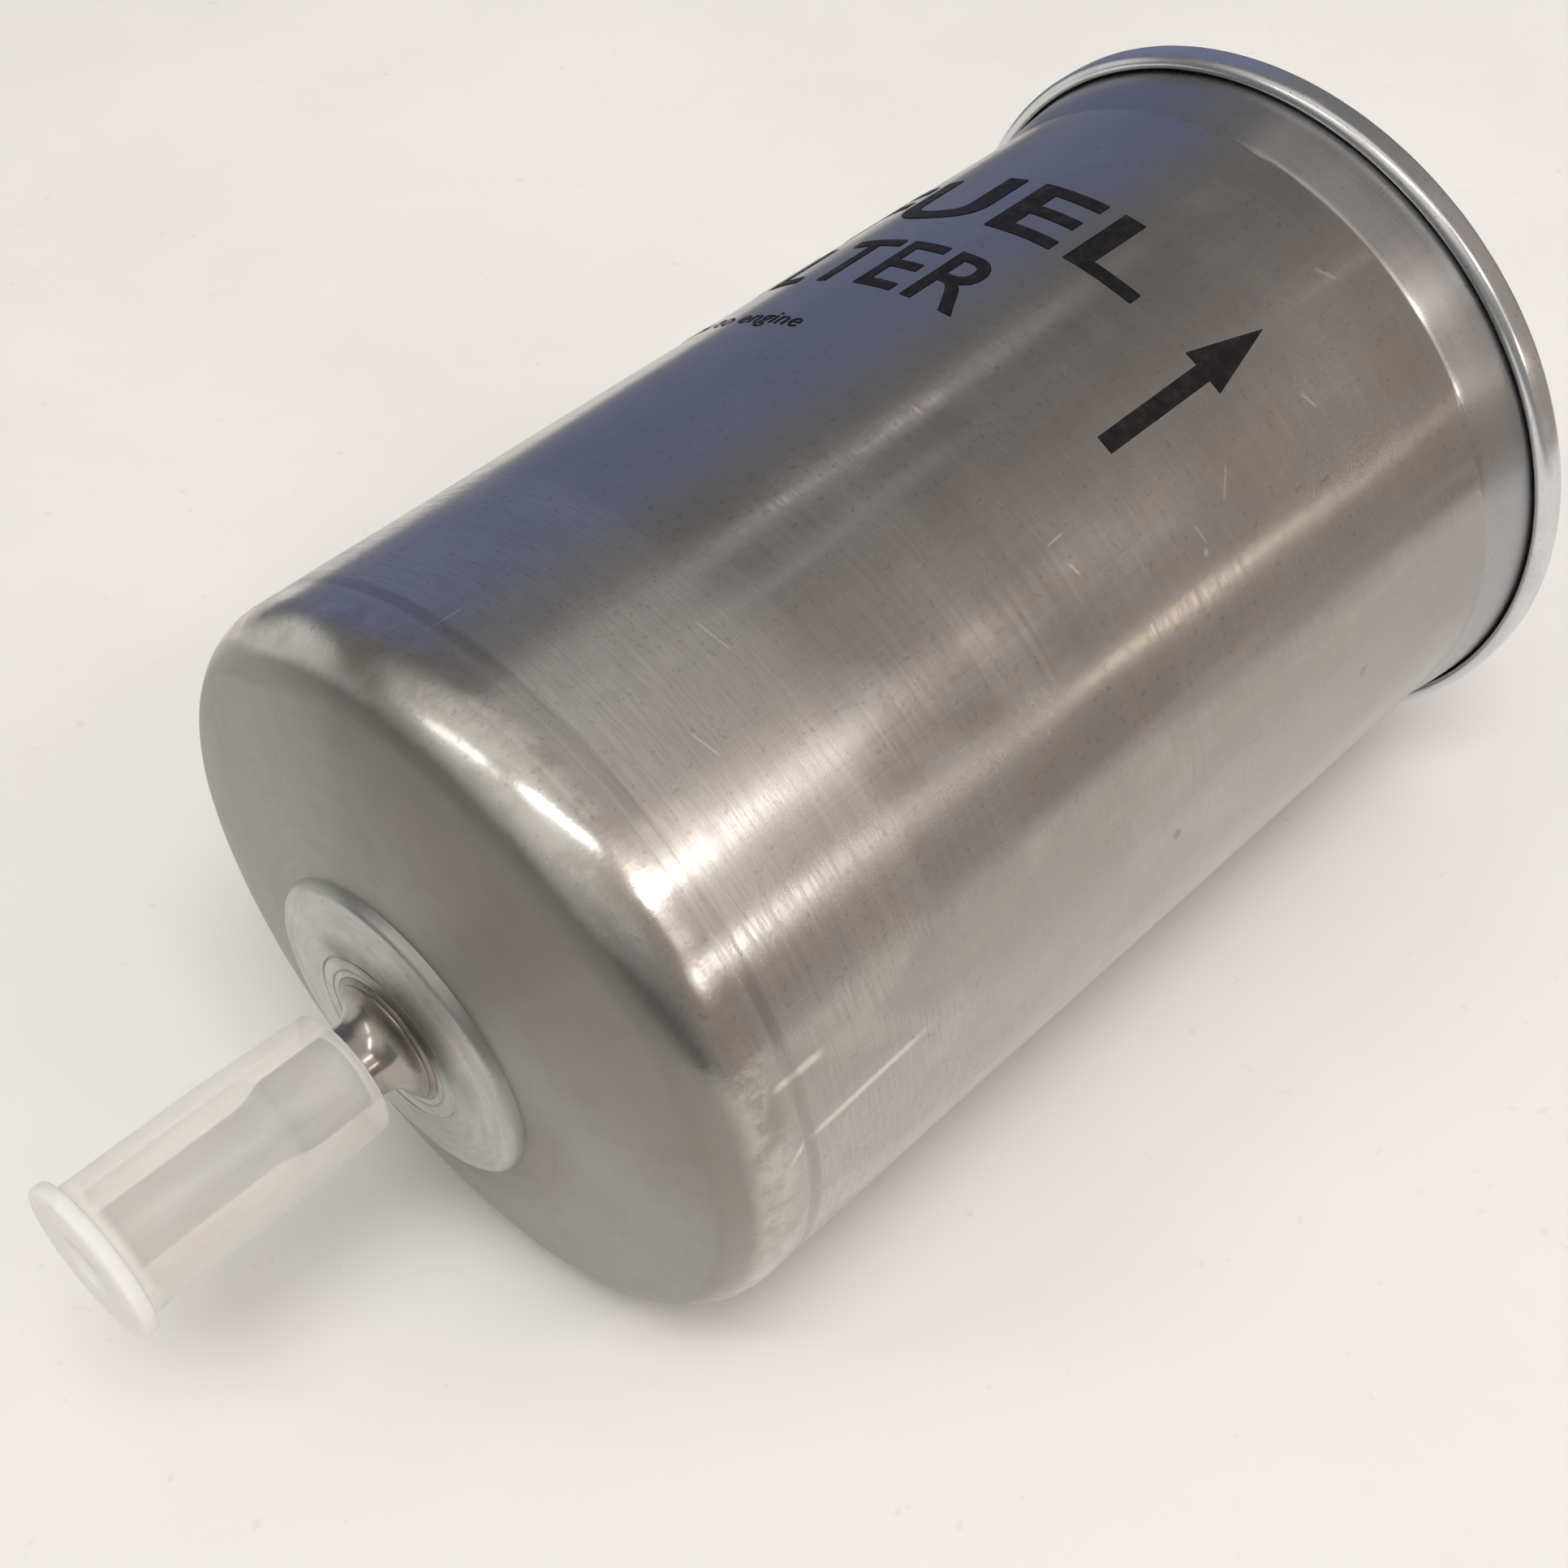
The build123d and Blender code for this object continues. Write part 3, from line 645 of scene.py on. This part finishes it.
def crown_arc(radius, from_r, steps):
    """Crown points from a distance off the axis out to the knuckle."""
    start = 180 - math.degrees(math.asin(from_r / radius))
    return arc(CROWN_CENTRE, 0, radius, start, CROWN_END, steps)


def dented(x, r, angle):
    """Shallow unevenness of thin drawn sheet, in mm: it fades out at the boss and at the flare."""
    from_boss, from_flare = (r - BOSS_FOOT) / BOSS_FADE, (WALL_HALF + FLARE_FADE_END - x) / FLARE_FADE
    fade = min(1.0, max(0.0, from_boss)) * min(1.0, max(0.0, from_flare))
    if fade <= 0:
        return 0.0
    c, s = math.cos(angle), math.sin(angle)
    soft = noise.noise(Vector((x / 26, c * 1.6, s * 1.6)))
    ripple = noise.noise(Vector((x / 18 + 9, c * 8, s * 8)))
    band = noise.noise(Vector((x / 5 + 3, c * 0.4, s * 0.4)))
    return fade * (SOFT_DENT * soft + RIPPLE * ripple + BAND * band)


groove_end = -WALL_HALF - GROOVE_GAP
groove_start = groove_end - GROOVE_WIDTH
outer = rounded(boss("inlet"), {2: 0.08, 4: 0.3, 5: 0.15})
outer += crown_arc(CROWN_R, BOSS_FOOT, 22)
outer += arc(KNUCKLE_X, CAN_R - KNUCKLE_R, KNUCKLE_R, CROWN_END, 90, 26)[1:]
groove = []
for t in np.linspace(0, 1, 13):
    groove.append((groove_start + GROOVE_WIDTH * t, CAN_R - GROOVE_DEPTH * math.sin(math.pi * t) ** 2))
wall = fill(groove + [(WALL_HALF, CAN_R)], 1.0)
flare = [(WALL_HALF - 1, CAN_R), (WALL_HALF, CAN_R)]
flare += [(WALL_HALF + past, CAN_R + rise) for past, rise in FLARE_KNEE]
flare = rounded(flare + [(FLARE_STEP_X, FLARE_STEP_R), (MOUTH_X, MOUTH_R)], 2.0, steps=6)[1:]
flange = [(FLANGE_X, MOUTH_R + FLANGE_X - MOUTH_X), (FLANGE_X, FLANGE_R), (FLANGE_X + SHEET, FLANGE_R)]
flange += [(FLANGE_X + SHEET, FLANGE_BORE), (MOUTH_X, FLANGE_BORE), (FLARE_STEP_X, FLARE_STEP_R - SHEET)]
inner = [(WALL_HALF, CAN_R - SHEET), (KNUCKLE_X, CAN_R - SHEET)]
inner += arc(KNUCKLE_X, CAN_R - KNUCKLE_R, KNUCKLE_R - SHEET, 90, CROWN_END, 10)[1:]
inner += crown_arc(CROWN_R - SHEET, BOSS_EDGE - SHEET, 10)[::-1][1:]
face_in = FACE["inlet"] + SHEET
inner += [(face_in + BOSS_CONE_DROP, BOSS_CONE - SHEET), (face_in, BOSS_FLAT), (face_in, SHANK_R)]
can_outline = outer + wall + flare + flange + inner
lathe("can_shell", can_outline, "filter", ["housing_can"], CAN, CAN_TURNS, dented)

# ---- the lid with its rolled seam ----
lid = boss("outlet") + [(FACE["outlet"] - 2 * BOSS_EDGE_DROP, BOSS_FOOT), (PANEL_X, PANEL_R)]
lid = rounded(lid, {2: 0.08, 4: 1.4, 5: 0.7, 6: 0.4})[:-1]
dip = [(PANEL_X, PANEL_R), (PANEL_X - SHEET, PANEL_R + SHEET)]
dip += [(COUNTERSINK_X + SHEET, COUNTERSINK_R - COUNTERSINK_HALF), (COUNTERSINK_X, COUNTERSINK_R), CHUCK_FOOT]
lid += smooth_line(dip, 6)
rim_round = RIM_R - LIP_R - LIP_ROUND
lid += arc(RIM_X - SHEET, CHUCK_R + SHEET, SHEET, -90, 0, 6)
lid += arc(RIM_X - rim_round, RIM_R - rim_round, rim_round, 0, 90, 8)
lid += arc(LIP_X + rim_round, RIM_R - rim_round, rim_round, 90, 180, 8)
lid += arc(LIP_X + LIP_ROUND, LIP_R + LIP_ROUND, LIP_ROUND, 180, 270, 4)[1:]
lid += [(LIP_X + SHEET, LIP_R), (LIP_X + SHEET, FLANGE_R), (FLANGE_X, FLANGE_R + SEAM_GAP)]
behind_gasket = FLANGE_X + SHEET + GASKET_T
lid += [(behind_gasket, FLANGE_R + SEAM_GAP), (behind_gasket, FLANGE_BORE - SEAM_GAP / 2)]
under = [(CHUCK_FOOT[0], CHUCK_FOOT[1] + SHEET), (COUNTERSINK_X - SHEET, COUNTERSINK_R)]
under += [(COUNTERSINK_X + SHEET, COUNTERSINK_R - COUNTERSINK_HALF - SHEET)]
under += [(PANEL_X - 2 * SHEET, PANEL_R), (PANEL_X - SHEET, PANEL_R - SHEET)]
lid += smooth_line(under, 4)
face_in = FACE["outlet"] - SHEET
lid += [(face_in - 2 * BOSS_EDGE_DROP, BOSS_FOOT - SHEET), (face_in - BOSS_CONE_DROP, BOSS_CONE - SHEET)]
lid += [(face_in, BOSS_FLAT), (face_in, SHANK_R)]


def rolled(x, r, angle):
    """The seaming roll leaves slight flats round the rim, in mm."""
    if r < CHUCK_R:
        return 0.0
    c, s = math.cos(angle), math.sin(angle)
    fine, wide = noise.noise(Vector((x / 3, c * 14, s * 14))), noise.noise(Vector((5, c * 4, s * 4)))
    return SEAM_FLAT * fine + SEAM_FLAT * wide


lathe("lid_shell", lid, "filter", ["end_lid"], LID, CAN_TURNS, rolled)

# ---- spigots, welds and caps at both ends ----
for end in ("inlet", "outlet"):
    face, side = FACE[end], SIDE[end]

    def at(points):
        return [(face + side * out, r) for out, r in points]

    reach, drop = TRUMPET_END - COLLAR_T - SCRIBE, TRUMPET_TOP - LAND_R
    sweep = (reach**2 + drop**2) / (2 * drop)
    trumpet = []
    for t in np.linspace(0, 1, 15):
        back = reach * (1 - t)
        trumpet.append((TRUMPET_END - back, LAND_R + sweep - math.sqrt(sweep**2 - back**2)))
    outline = [(-STUB[end], BORE_R), (-STUB[end], SHANK_R), (0, SHANK_R), (0, COLLAR_R)]
    collar = [(0, COLLAR_R), (COLLAR_T, COLLAR_R), (COLLAR_T + SCRIBE, TRUMPET_TOP)]
    outline += rounded(collar, 0.12)[1:-1]
    outline += trumpet
    tail = [(TRUMPET_END, LAND_R), (LAND_END, LAND_R), (NOSE_START, NOSE_R), (SPIGOT_LENGTH - TIP_CHAMFER, NOSE_R)]
    tail += [(SPIGOT_LENGTH, NOSE_R - TIP_CHAMFER), (SPIGOT_LENGTH, BORE_R), (-STUB[end], BORE_R)]
    outline += rounded(tail, {1: 0.8, 2: 0.8, 3: 0.3, 4: 0.15, 5: 0.2}, steps=4)[1:-1]
    lathe(f"{end}_spigot_turned", at(outline), "filter", [f"{end}_spigot"], SPIGOT, SPIGOT_TURNS)

    bead = [(0, WELD_R)]
    for t in np.linspace(0, 1, 9):
        lift = math.sin(math.pi * t)
        out, r = BEAD_START + WELD_T * BEAD_SHARE * t, WELD_R + (COLLAR_R - WELD_R) * t
        bead.append((out + BEAD_SWELL_X * lift, r + BEAD_SWELL_R * lift))
    bead += [(0, COLLAR_R)]

    def beaded(x, r, angle):
        return BEAD_GRAIN * noise.noise(Vector((x, math.cos(angle) * 16, math.sin(angle) * 16)))

    lathe(f"{end}_weld_bead", at(bead), "filter", [f"{end}_weld_ring"], WELD, SMALL_TURNS, beaded)

    shell = [(CAP_BORE_END, 0), (CAP_BORE_END, CAP_BORE_R), (CAP_BORE_START, CAP_BORE_R), (CAP_GRIP_END, CAP_GRIP_R)]
    shell += [(CAP_MOUTH, CAP_GRIP_R), (CAP_MOUTH, CAP_MOUTH_R), (CAP_TAPER_END, CAP_BODY_R), (CAP_FLANGE, CAP_BODY_R)]
    shell += [(CAP_FLANGE, CAP_FLANGE_R), (CAP_END, CAP_FLANGE_R), (CAP_END, CAP_DIMPLE_R)]
    shell += [(CAP_END - CAP_DIMPLE, CAP_DIMPLE_R - DIMPLE_TAPER), (CAP_END - CAP_DIMPLE, 0)]
    corners = {1: 0.9, 2: 0.5, 3: 0.5, 4: 0.2, 5: 0.5, 6: 1.5, 7: 0.5, 8: 0.5, 9: 0.6, 10: 0.25, 11: 0.4}
    sleeve = at(rounded(shell, corners, steps=5))
    lathe(f"{end}_cap_sleeve", sleeve, f"{end}_cap", [f"{end}_dust_cap"], CAP, SMALL_TURNS, sharp=50.0)


# ---- ink on the can's wall ----
INK_R = CAN_R + 0.05
INK_STEP = 0.5  # how finely a print is cut so that it can bend round the can
INK_HALF = 0.008  # half the ink's thickness
CAP_SHARE = 0.73  # the typeface's capital height as a share of its size
LETTER_SPACE = 1.05
SAME_SPOT, ON_CUT = 1e-4, 1e-5  # how near counts as the same point, and as on the cut


def wrap(name, mesh, x0, polar, scale_x=1.0):
    """Lays a flat mesh, in mm, on the wall: its Y runs along the can's +X and its X runs round, up to a polar angle."""
    bm = bmesh.new()
    bm.from_mesh(mesh)
    bmesh.ops.remove_doubles(bm, verts=bm.verts, dist=SAME_SPOT)
    for v in bm.verts:
        v.co.x *= scale_x
    low, high = min(v.co.x for v in bm.verts), max(v.co.x for v in bm.verts)
    cuts = int((high - low) / INK_STEP)
    for k in range(1, cuts):
        geometry, cut = bm.verts[:] + bm.edges[:] + bm.faces[:], (low + k * INK_STEP, 0, 0)
        bmesh.ops.bisect_plane(bm, geom=geometry, plane_co=cut, plane_no=(1, 0, 0), dist=ON_CUT)
    bmesh.ops.recalc_face_normals(bm, faces=bm.faces)
    for v in bm.verts:
        angle = math.radians(polar) + (v.co.x - high) / CAN_R
        x = x0 + v.co.y
        lift = INK_R + dented(x, CAN_R, angle) + v.co.z
        v.co = Vector((x, lift * math.cos(angle), lift * math.sin(angle))) * MM
    made = bpy.data.meshes.new(name)
    bm.to_mesh(made)
    bm.free()
    dress(name, made, "filter", [], INK, 40)


def word(name, text, x0, polar, height, width_scale, bold):
    """A generic word in the built-in plain typeface, cap height in mm."""
    curve = bpy.data.curves.new(name + "_type", "FONT")
    curve.body, curve.size, curve.offset, curve.extrude = text, height / CAP_SHARE, bold, INK_HALF
    curve.space_character = LETTER_SPACE
    holder = bpy.data.objects.new(name + "_type", curve)
    scene.collection.objects.link(holder)
    bpy.context.view_layer.update()
    mesh = bpy.data.meshes.new_from_object(holder.evaluated_get(bpy.context.evaluated_depsgraph_get()))
    bpy.data.objects.remove(holder)
    bpy.data.curves.remove(curve)
    wrap(name, mesh, x0, polar, width_scale)
    bpy.data.meshes.remove(mesh)


word("print_fuel", "FUEL", 24.0, 106.4, 10.2, 1.45, 0.25)
word("print_filter", "FILTER", 8.9, 91.4, 10.0, 0.92, 0.12)
word("print_flow", "flow to engine", -0.9, 74.0, 2.6, 1.0, 0.0)

TAIL_X, HEAD_X, TIP_X, ARROW_POLAR, SHAFT_W, HEAD_W = 8.9, 24.1, 33.8, 120.9, 2.1, 5.3
arrow_outline = [(-SHAFT_W / 2, 0), (SHAFT_W / 2, 0), (SHAFT_W / 2, HEAD_X - TAIL_X), (HEAD_W / 2, HEAD_X - TAIL_X)]
arrow_outline += [(0, TIP_X - TAIL_X), (-HEAD_W / 2, HEAD_X - TAIL_X), (-SHAFT_W / 2, HEAD_X - TAIL_X)]
arrow_mesh = bpy.data.meshes.new("arrow_flat")
count = len(arrow_outline)
flat = [(x, y, z) for z in (-INK_HALF, INK_HALF) for x, y in arrow_outline]
sides = [(k, (k + 1) % count, (k + 1) % count + count, k + count) for k in range(count)]
arrow_mesh.from_pydata(flat, [], [tuple(range(count))[::-1], tuple(range(count, 2 * count)), *sides])
wrap("print_arrow", arrow_mesh, TAIL_X, ARROW_POLAR + math.degrees(HEAD_W / 2 / CAN_R))
bpy.data.meshes.remove(arrow_mesh)

# ---- parts sealed inside ----
HIDDEN = {
    "seam_gasket": plain_hidden("seam_compound", (0.05, 0.05, 0.05), (0.02, 0.02, 0.02), 0.7, 900),
    "filter_pleats": plain_hidden(
        "filter_paper", (0.80, 0.62, 0.34), (0.66, 0.47, 0.22), 0.85, 700, stretch=(0.3, 1, 1)
    ),
    "center_tube": plain_hidden("tube_steel", (0.55, 0.55, 0.55), (0.40, 0.40, 0.41), 0.35, 500, 1.0, (6, 1, 1)),
    "outlet_neck_seal": plain_hidden("seal_rubber", (0.03, 0.03, 0.03), (0.015, 0.015, 0.015), 0.6, 800),
    "support_spring": plain_hidden("spring_steel", (0.42, 0.42, 0.43), (0.28, 0.27, 0.27), 0.32, 800, 1.0),
}
HIDDEN["spring_seat"] = HIDDEN["center_tube"]
DISC_PLASTIC = plain_hidden("disc_plastic", (0.05, 0.05, 0.055), (0.03, 0.03, 0.033), 0.45, 400)
POTTING = plain_hidden("potting", (0.62, 0.44, 0.18), (0.48, 0.32, 0.12), 0.4, 300)
for end in ("inlet", "outlet"):
    HIDDEN[f"{end}_end_disc"], HIDDEN[f"{end}_potting"] = DISC_PLASTIC, POTTING
for node, material in HIDDEN.items():
    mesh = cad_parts[node].data
    mesh.materials.clear()
    mesh.materials.append(material)
    shade(mesh, 30)

# ---- floor and backdrop ----
REST_LOW = Vector((KNUCKLE_X, 0, -CAN_R)) * MM  # the can lies on its knuckle and on its rolled rim
REST_HIGH = Vector(((LIP_X + RIM_X) / 2 - 1, 0, -RIM_R)) * MM
run = (REST_HIGH - REST_LOW).normalized()
up = Vector((-run.z, 0, run.x))
FLOOR_TURN = Matrix(((run.x, 0, up.x), (0, 1, 0), (run.z, 0, up.z)))


def floor_material():
    """A white table with faint mottling and a few flecks."""
    net = Net("floor_white", Specular_IOR_Level=0.25)
    mottle = net.noise(net.coords, scale=14, detail=5, rough=0.6)
    fleck = net.noise(net.coords, scale=420, detail=2)
    colour = net.mix(net.map(mottle, 0.3, 0.7), *FLOOR_TONES)
    net.to("Base Color", net.mix(net.map(fleck, 0.70, 0.78, 0.0, 0.25), colour, FLECK_TONE))
    net.to("Roughness", net.map(mottle, 0.3, 0.7, 0.5, 0.6))
    return net.material


FLOOR = floor_material()


FLOOR_TURNS = 128
SWEEP_START, BACK_HEIGHT = 0.15, 2.5  # radians up the backdrop's curve, and the wall's height as a share of its rise


def disc(name, inner_r, outer_r, rise=None):
    """A flat ring on the floor's plane, in metres; rise turns its edge up into a backdrop."""
    loops = [(inner_r, 0.0), (outer_r, 0.0)]
    if rise:
        for t in np.linspace(SWEEP_START, math.pi / 2, 12):
            loops.append((outer_r + rise * math.sin(t), rise * (1 - math.cos(t))))
        loops.append((outer_r + rise, rise * BACK_HEIGHT))
    verts, faces = [], []
    for radius, height in loops:
        for k in range(FLOOR_TURNS):
            a = 2 * math.pi * k / FLOOR_TURNS
            spot = Vector((radius * math.cos(a), radius * math.sin(a), height))
            verts.append(tuple(FLOOR_TURN @ spot + REST_LOW))
    for i in range(len(loops) - 1):
        near, past = i * FLOOR_TURNS, (i + 1) * FLOOR_TURNS
        for k in range(FLOOR_TURNS):
            m = (k + 1) % FLOOR_TURNS
            faces.append((near + k, past + k, past + m, near + m))
    mesh = bpy.data.meshes.new(name)
    mesh.from_pydata(verts, [], faces)
    shade(mesh)
    mesh.materials.append(FLOOR)
    ring = bpy.data.objects.new(name, mesh)
    scene.collection.objects.link(ring)
    return ring


TABLE_HOLE, TABLE_REACH, ROOM_REACH, ROOM_RISE = 0.0005, 0.31, 6.0, 3.0
disc("floor_near", TABLE_HOLE, TABLE_REACH)
far = disc("floor_far", TABLE_REACH, ROOM_REACH, rise=ROOM_RISE)
far.visible_glossy = False
far.visible_shadow = False

# ---- light ----
world = bpy.data.worlds.new("studio")
scene.world = world
world.use_nodes = True
tree = world.node_tree
tree.nodes.clear()
world_out = tree.nodes.new("ShaderNodeOutputWorld")
background = tree.nodes.new("ShaderNodeBackground")
tree.links.new(background.outputs[0], world_out.inputs[0])
direction = tree.nodes.new("ShaderNodeTexCoord").outputs["Generated"]


def toward(azimuth, elevation):
    """Unit vector; azimuth is from +X towards +Y, in degrees."""
    a, e = math.radians(azimuth), math.radians(elevation)
    return Vector((math.cos(a) * math.cos(e), math.sin(a) * math.cos(e), math.sin(e)))


def glow(under, centre, inside, outside, value):
    """A soft patch over what is under it: value inside the first angle from the centre, nothing past the second."""
    dot = tree.nodes.new("ShaderNodeVectorMath")
    dot.operation = "DOT_PRODUCT"
    tree.links.new(direction, dot.inputs[0])
    dot.inputs[1].default_value = centre
    ramp = tree.nodes.new("ShaderNodeMapRange")
    ramp.interpolation_type = "SMOOTHSTEP"
    tree.links.new(dot.outputs["Value"], ramp.inputs["Value"])
    ramp.inputs["From Min"].default_value = math.cos(math.radians(outside))
    ramp.inputs["From Max"].default_value = math.cos(math.radians(inside))
    mix = tree.nodes.new("ShaderNodeMix")
    mix.data_type = "RGBA"
    tree.links.new(ramp.outputs[0], mix.inputs["Factor"])
    put(tree, mix.inputs[COLOUR_A], under)
    mix.inputs[COLOUR_B].default_value = (*value, 1)
    return mix.outputs[COLOUR_OUT]


ROOM = (0.20, 0.195, 0.19, 1)
PATCHES = [  # centre, inner and outer angle, colour
    (toward(-168, 62), 15, 60, (0.86, 0.83, 0.78)),
    (toward(-60, 12), 18, 74, (0.385, 0.335, 0.305)),
    (toward(57, 14), 14, 36, (0.19, 0.212, 0.33)),
    (toward(-140, -4), 20, 42, (0.27, 0.275, 0.26)),
    (toward(108, 0), 10, 28, (0.78, 0.79, 0.75)),
]
room = ROOM
for patch in PATCHES:
    room = glow(room, *patch)
tree.links.new(room, background.inputs["Color"])
background.inputs["Strength"].default_value = 1.0


CAMERA_AT = Vector((-134.06, -132.27, 176.47)) * MM
SKY_DISTANCE, WALL_DISTANCE = 2.4, 1.5  # how far the lamps are from the object, in metres


def lamp(name, centre, along, out, length, width, radiance, colour):
    """A rectangular lamp; out points from the object to it, and radiance is what a mirror would show of it."""
    light = bpy.data.lights.new(name, "AREA")
    light.shape, light.size, light.size_y = "RECTANGLE", length, width
    light.energy = radiance * math.pi * length * width
    light.color = colour
    holder = bpy.data.objects.new(name, light)
    holder.matrix_world = Matrix.Translation(centre) @ Matrix((along, out.cross(along), out)).transposed().to_4x4()
    holder.visible_camera = False
    scene.collection.objects.link(holder)
    return holder


def sky_lamp(name, start, end, width, radiance, colour):
    """A lamp stretched between two directions, each an azimuth and an elevation; its width is in metres."""
    a, b = toward(*start) * SKY_DISTANCE, toward(*end) * SKY_DISTANCE
    middle, along = (a + b) / 2, (b - a).normalized()
    out = (middle - along * middle.dot(along)).normalized()
    return lamp(name, middle, along, out, (b - a).length, width, radiance, colour)


def wall_lamp(name, polar, x_from, x_to, half_width, radiance, colour):
    """A lamp parallel to the can, which the wall mirrors to the camera at a polar angle, between two x in mm."""
    a = math.radians(polar)
    spot = Vector((math.cos(a), math.sin(a))) * CAN_R * MM
    seen = Vector((CAMERA_AT.y, CAMERA_AT.z)) - spot
    away = 2 * a - math.atan2(seen.y, seen.x)
    reach = (seen.length + WALL_DISTANCE) / seen.length
    ends = [CAMERA_AT.x + (x * MM - CAMERA_AT.x) * reach for x in (x_from, x_to)]
    out = Vector((0, math.cos(away), math.sin(away)))
    centre = Vector((sum(ends) / 2, spot.x + out.y * WALL_DISTANCE, spot.y + out.z * WALL_DISTANCE))
    width = 4 * WALL_DISTANCE * math.radians(half_width)
    lamp(name, centre, Vector((1, 0, 0)), out, ends[1] - ends[0], width, radiance, colour)


WHITE, WARM, GOLD, ROSE = (1.0, 0.985, 0.955), (1.0, 0.94, 0.885), (1.0, 0.85, 0.66), (1.0, 0.89, 0.85)
wash = sky_lamp("room_wash", (-150, 60), (-90, 60), 0.9, 7.2, WHITE)
wash.visible_glossy = False
sky_lamp("ceiling_row_far", (144, 38), (169, 58), 0.11, 5.5, WHITE)
sky_lamp("ceiling_row_near", (-168, 64), (-90, 60), 0.13, 9.0, WHITE)
wall_lamp("wide_haze", 116, -90, -40, 20.0, 0.34, WARM)
wall_lamp("haze_lamp", 132, -100, -48, 9.0, 0.8, WARM)
wall_lamp("main_streak", 131.3, -104, -53, 1.15, 9.5, WARM)
wall_lamp("main_tip", 131.8, -53, -47, 0.5, 3.0, WARM)
wall_lamp("thin_streak", 142.8, -112, -47, 0.6, 9.5, WARM)
wall_lamp("gold_streak", 145.6, 0, 9, 0.65, 9.5, GOLD)
wall_lamp("gold_tail", 147.2, 10, 50, 1.3, 0.5, GOLD)
wall_lamp("rose_streak", 101.3, -28, 8, 0.4, 2.2, ROSE)
wall_lamp("rose_thread", 109.3, -30, -14, 0.3, 1.5, ROSE)
wall_lamp("edge_thread", 157.2, -34, 50, 0.25, 1.2, WARM)
wall_lamp("far_thread", 121, 32, 52, 0.8, 0.5, ROSE)

# ---- camera ----
LENS, SENSOR, SHIFT = 54.84, 36.0, (-0.0926, 0.0102)
camera_data = bpy.data.cameras.new("camera")
camera_data.lens, camera_data.sensor_width = LENS, SENSOR
camera_data.shift_x, camera_data.shift_y = SHIFT
camera_data.clip_start, camera_data.clip_end = 0.01, 50
camera = bpy.data.objects.new("camera", camera_data)
look = Vector((0.49844, 0.47390, -0.72593)).normalized()
right = Vector((0.67567, -0.73700, -0.01719)).normalized()
above = right.cross(look).normalized()
turn = Matrix((right, above, -look)).transposed()
camera.matrix_world = Matrix.Translation(CAMERA_AT) @ turn.to_4x4()
scene.collection.objects.link(camera)
scene.camera = camera
scene.view_settings.view_transform = "Standard"
scene.view_settings.look = "None"
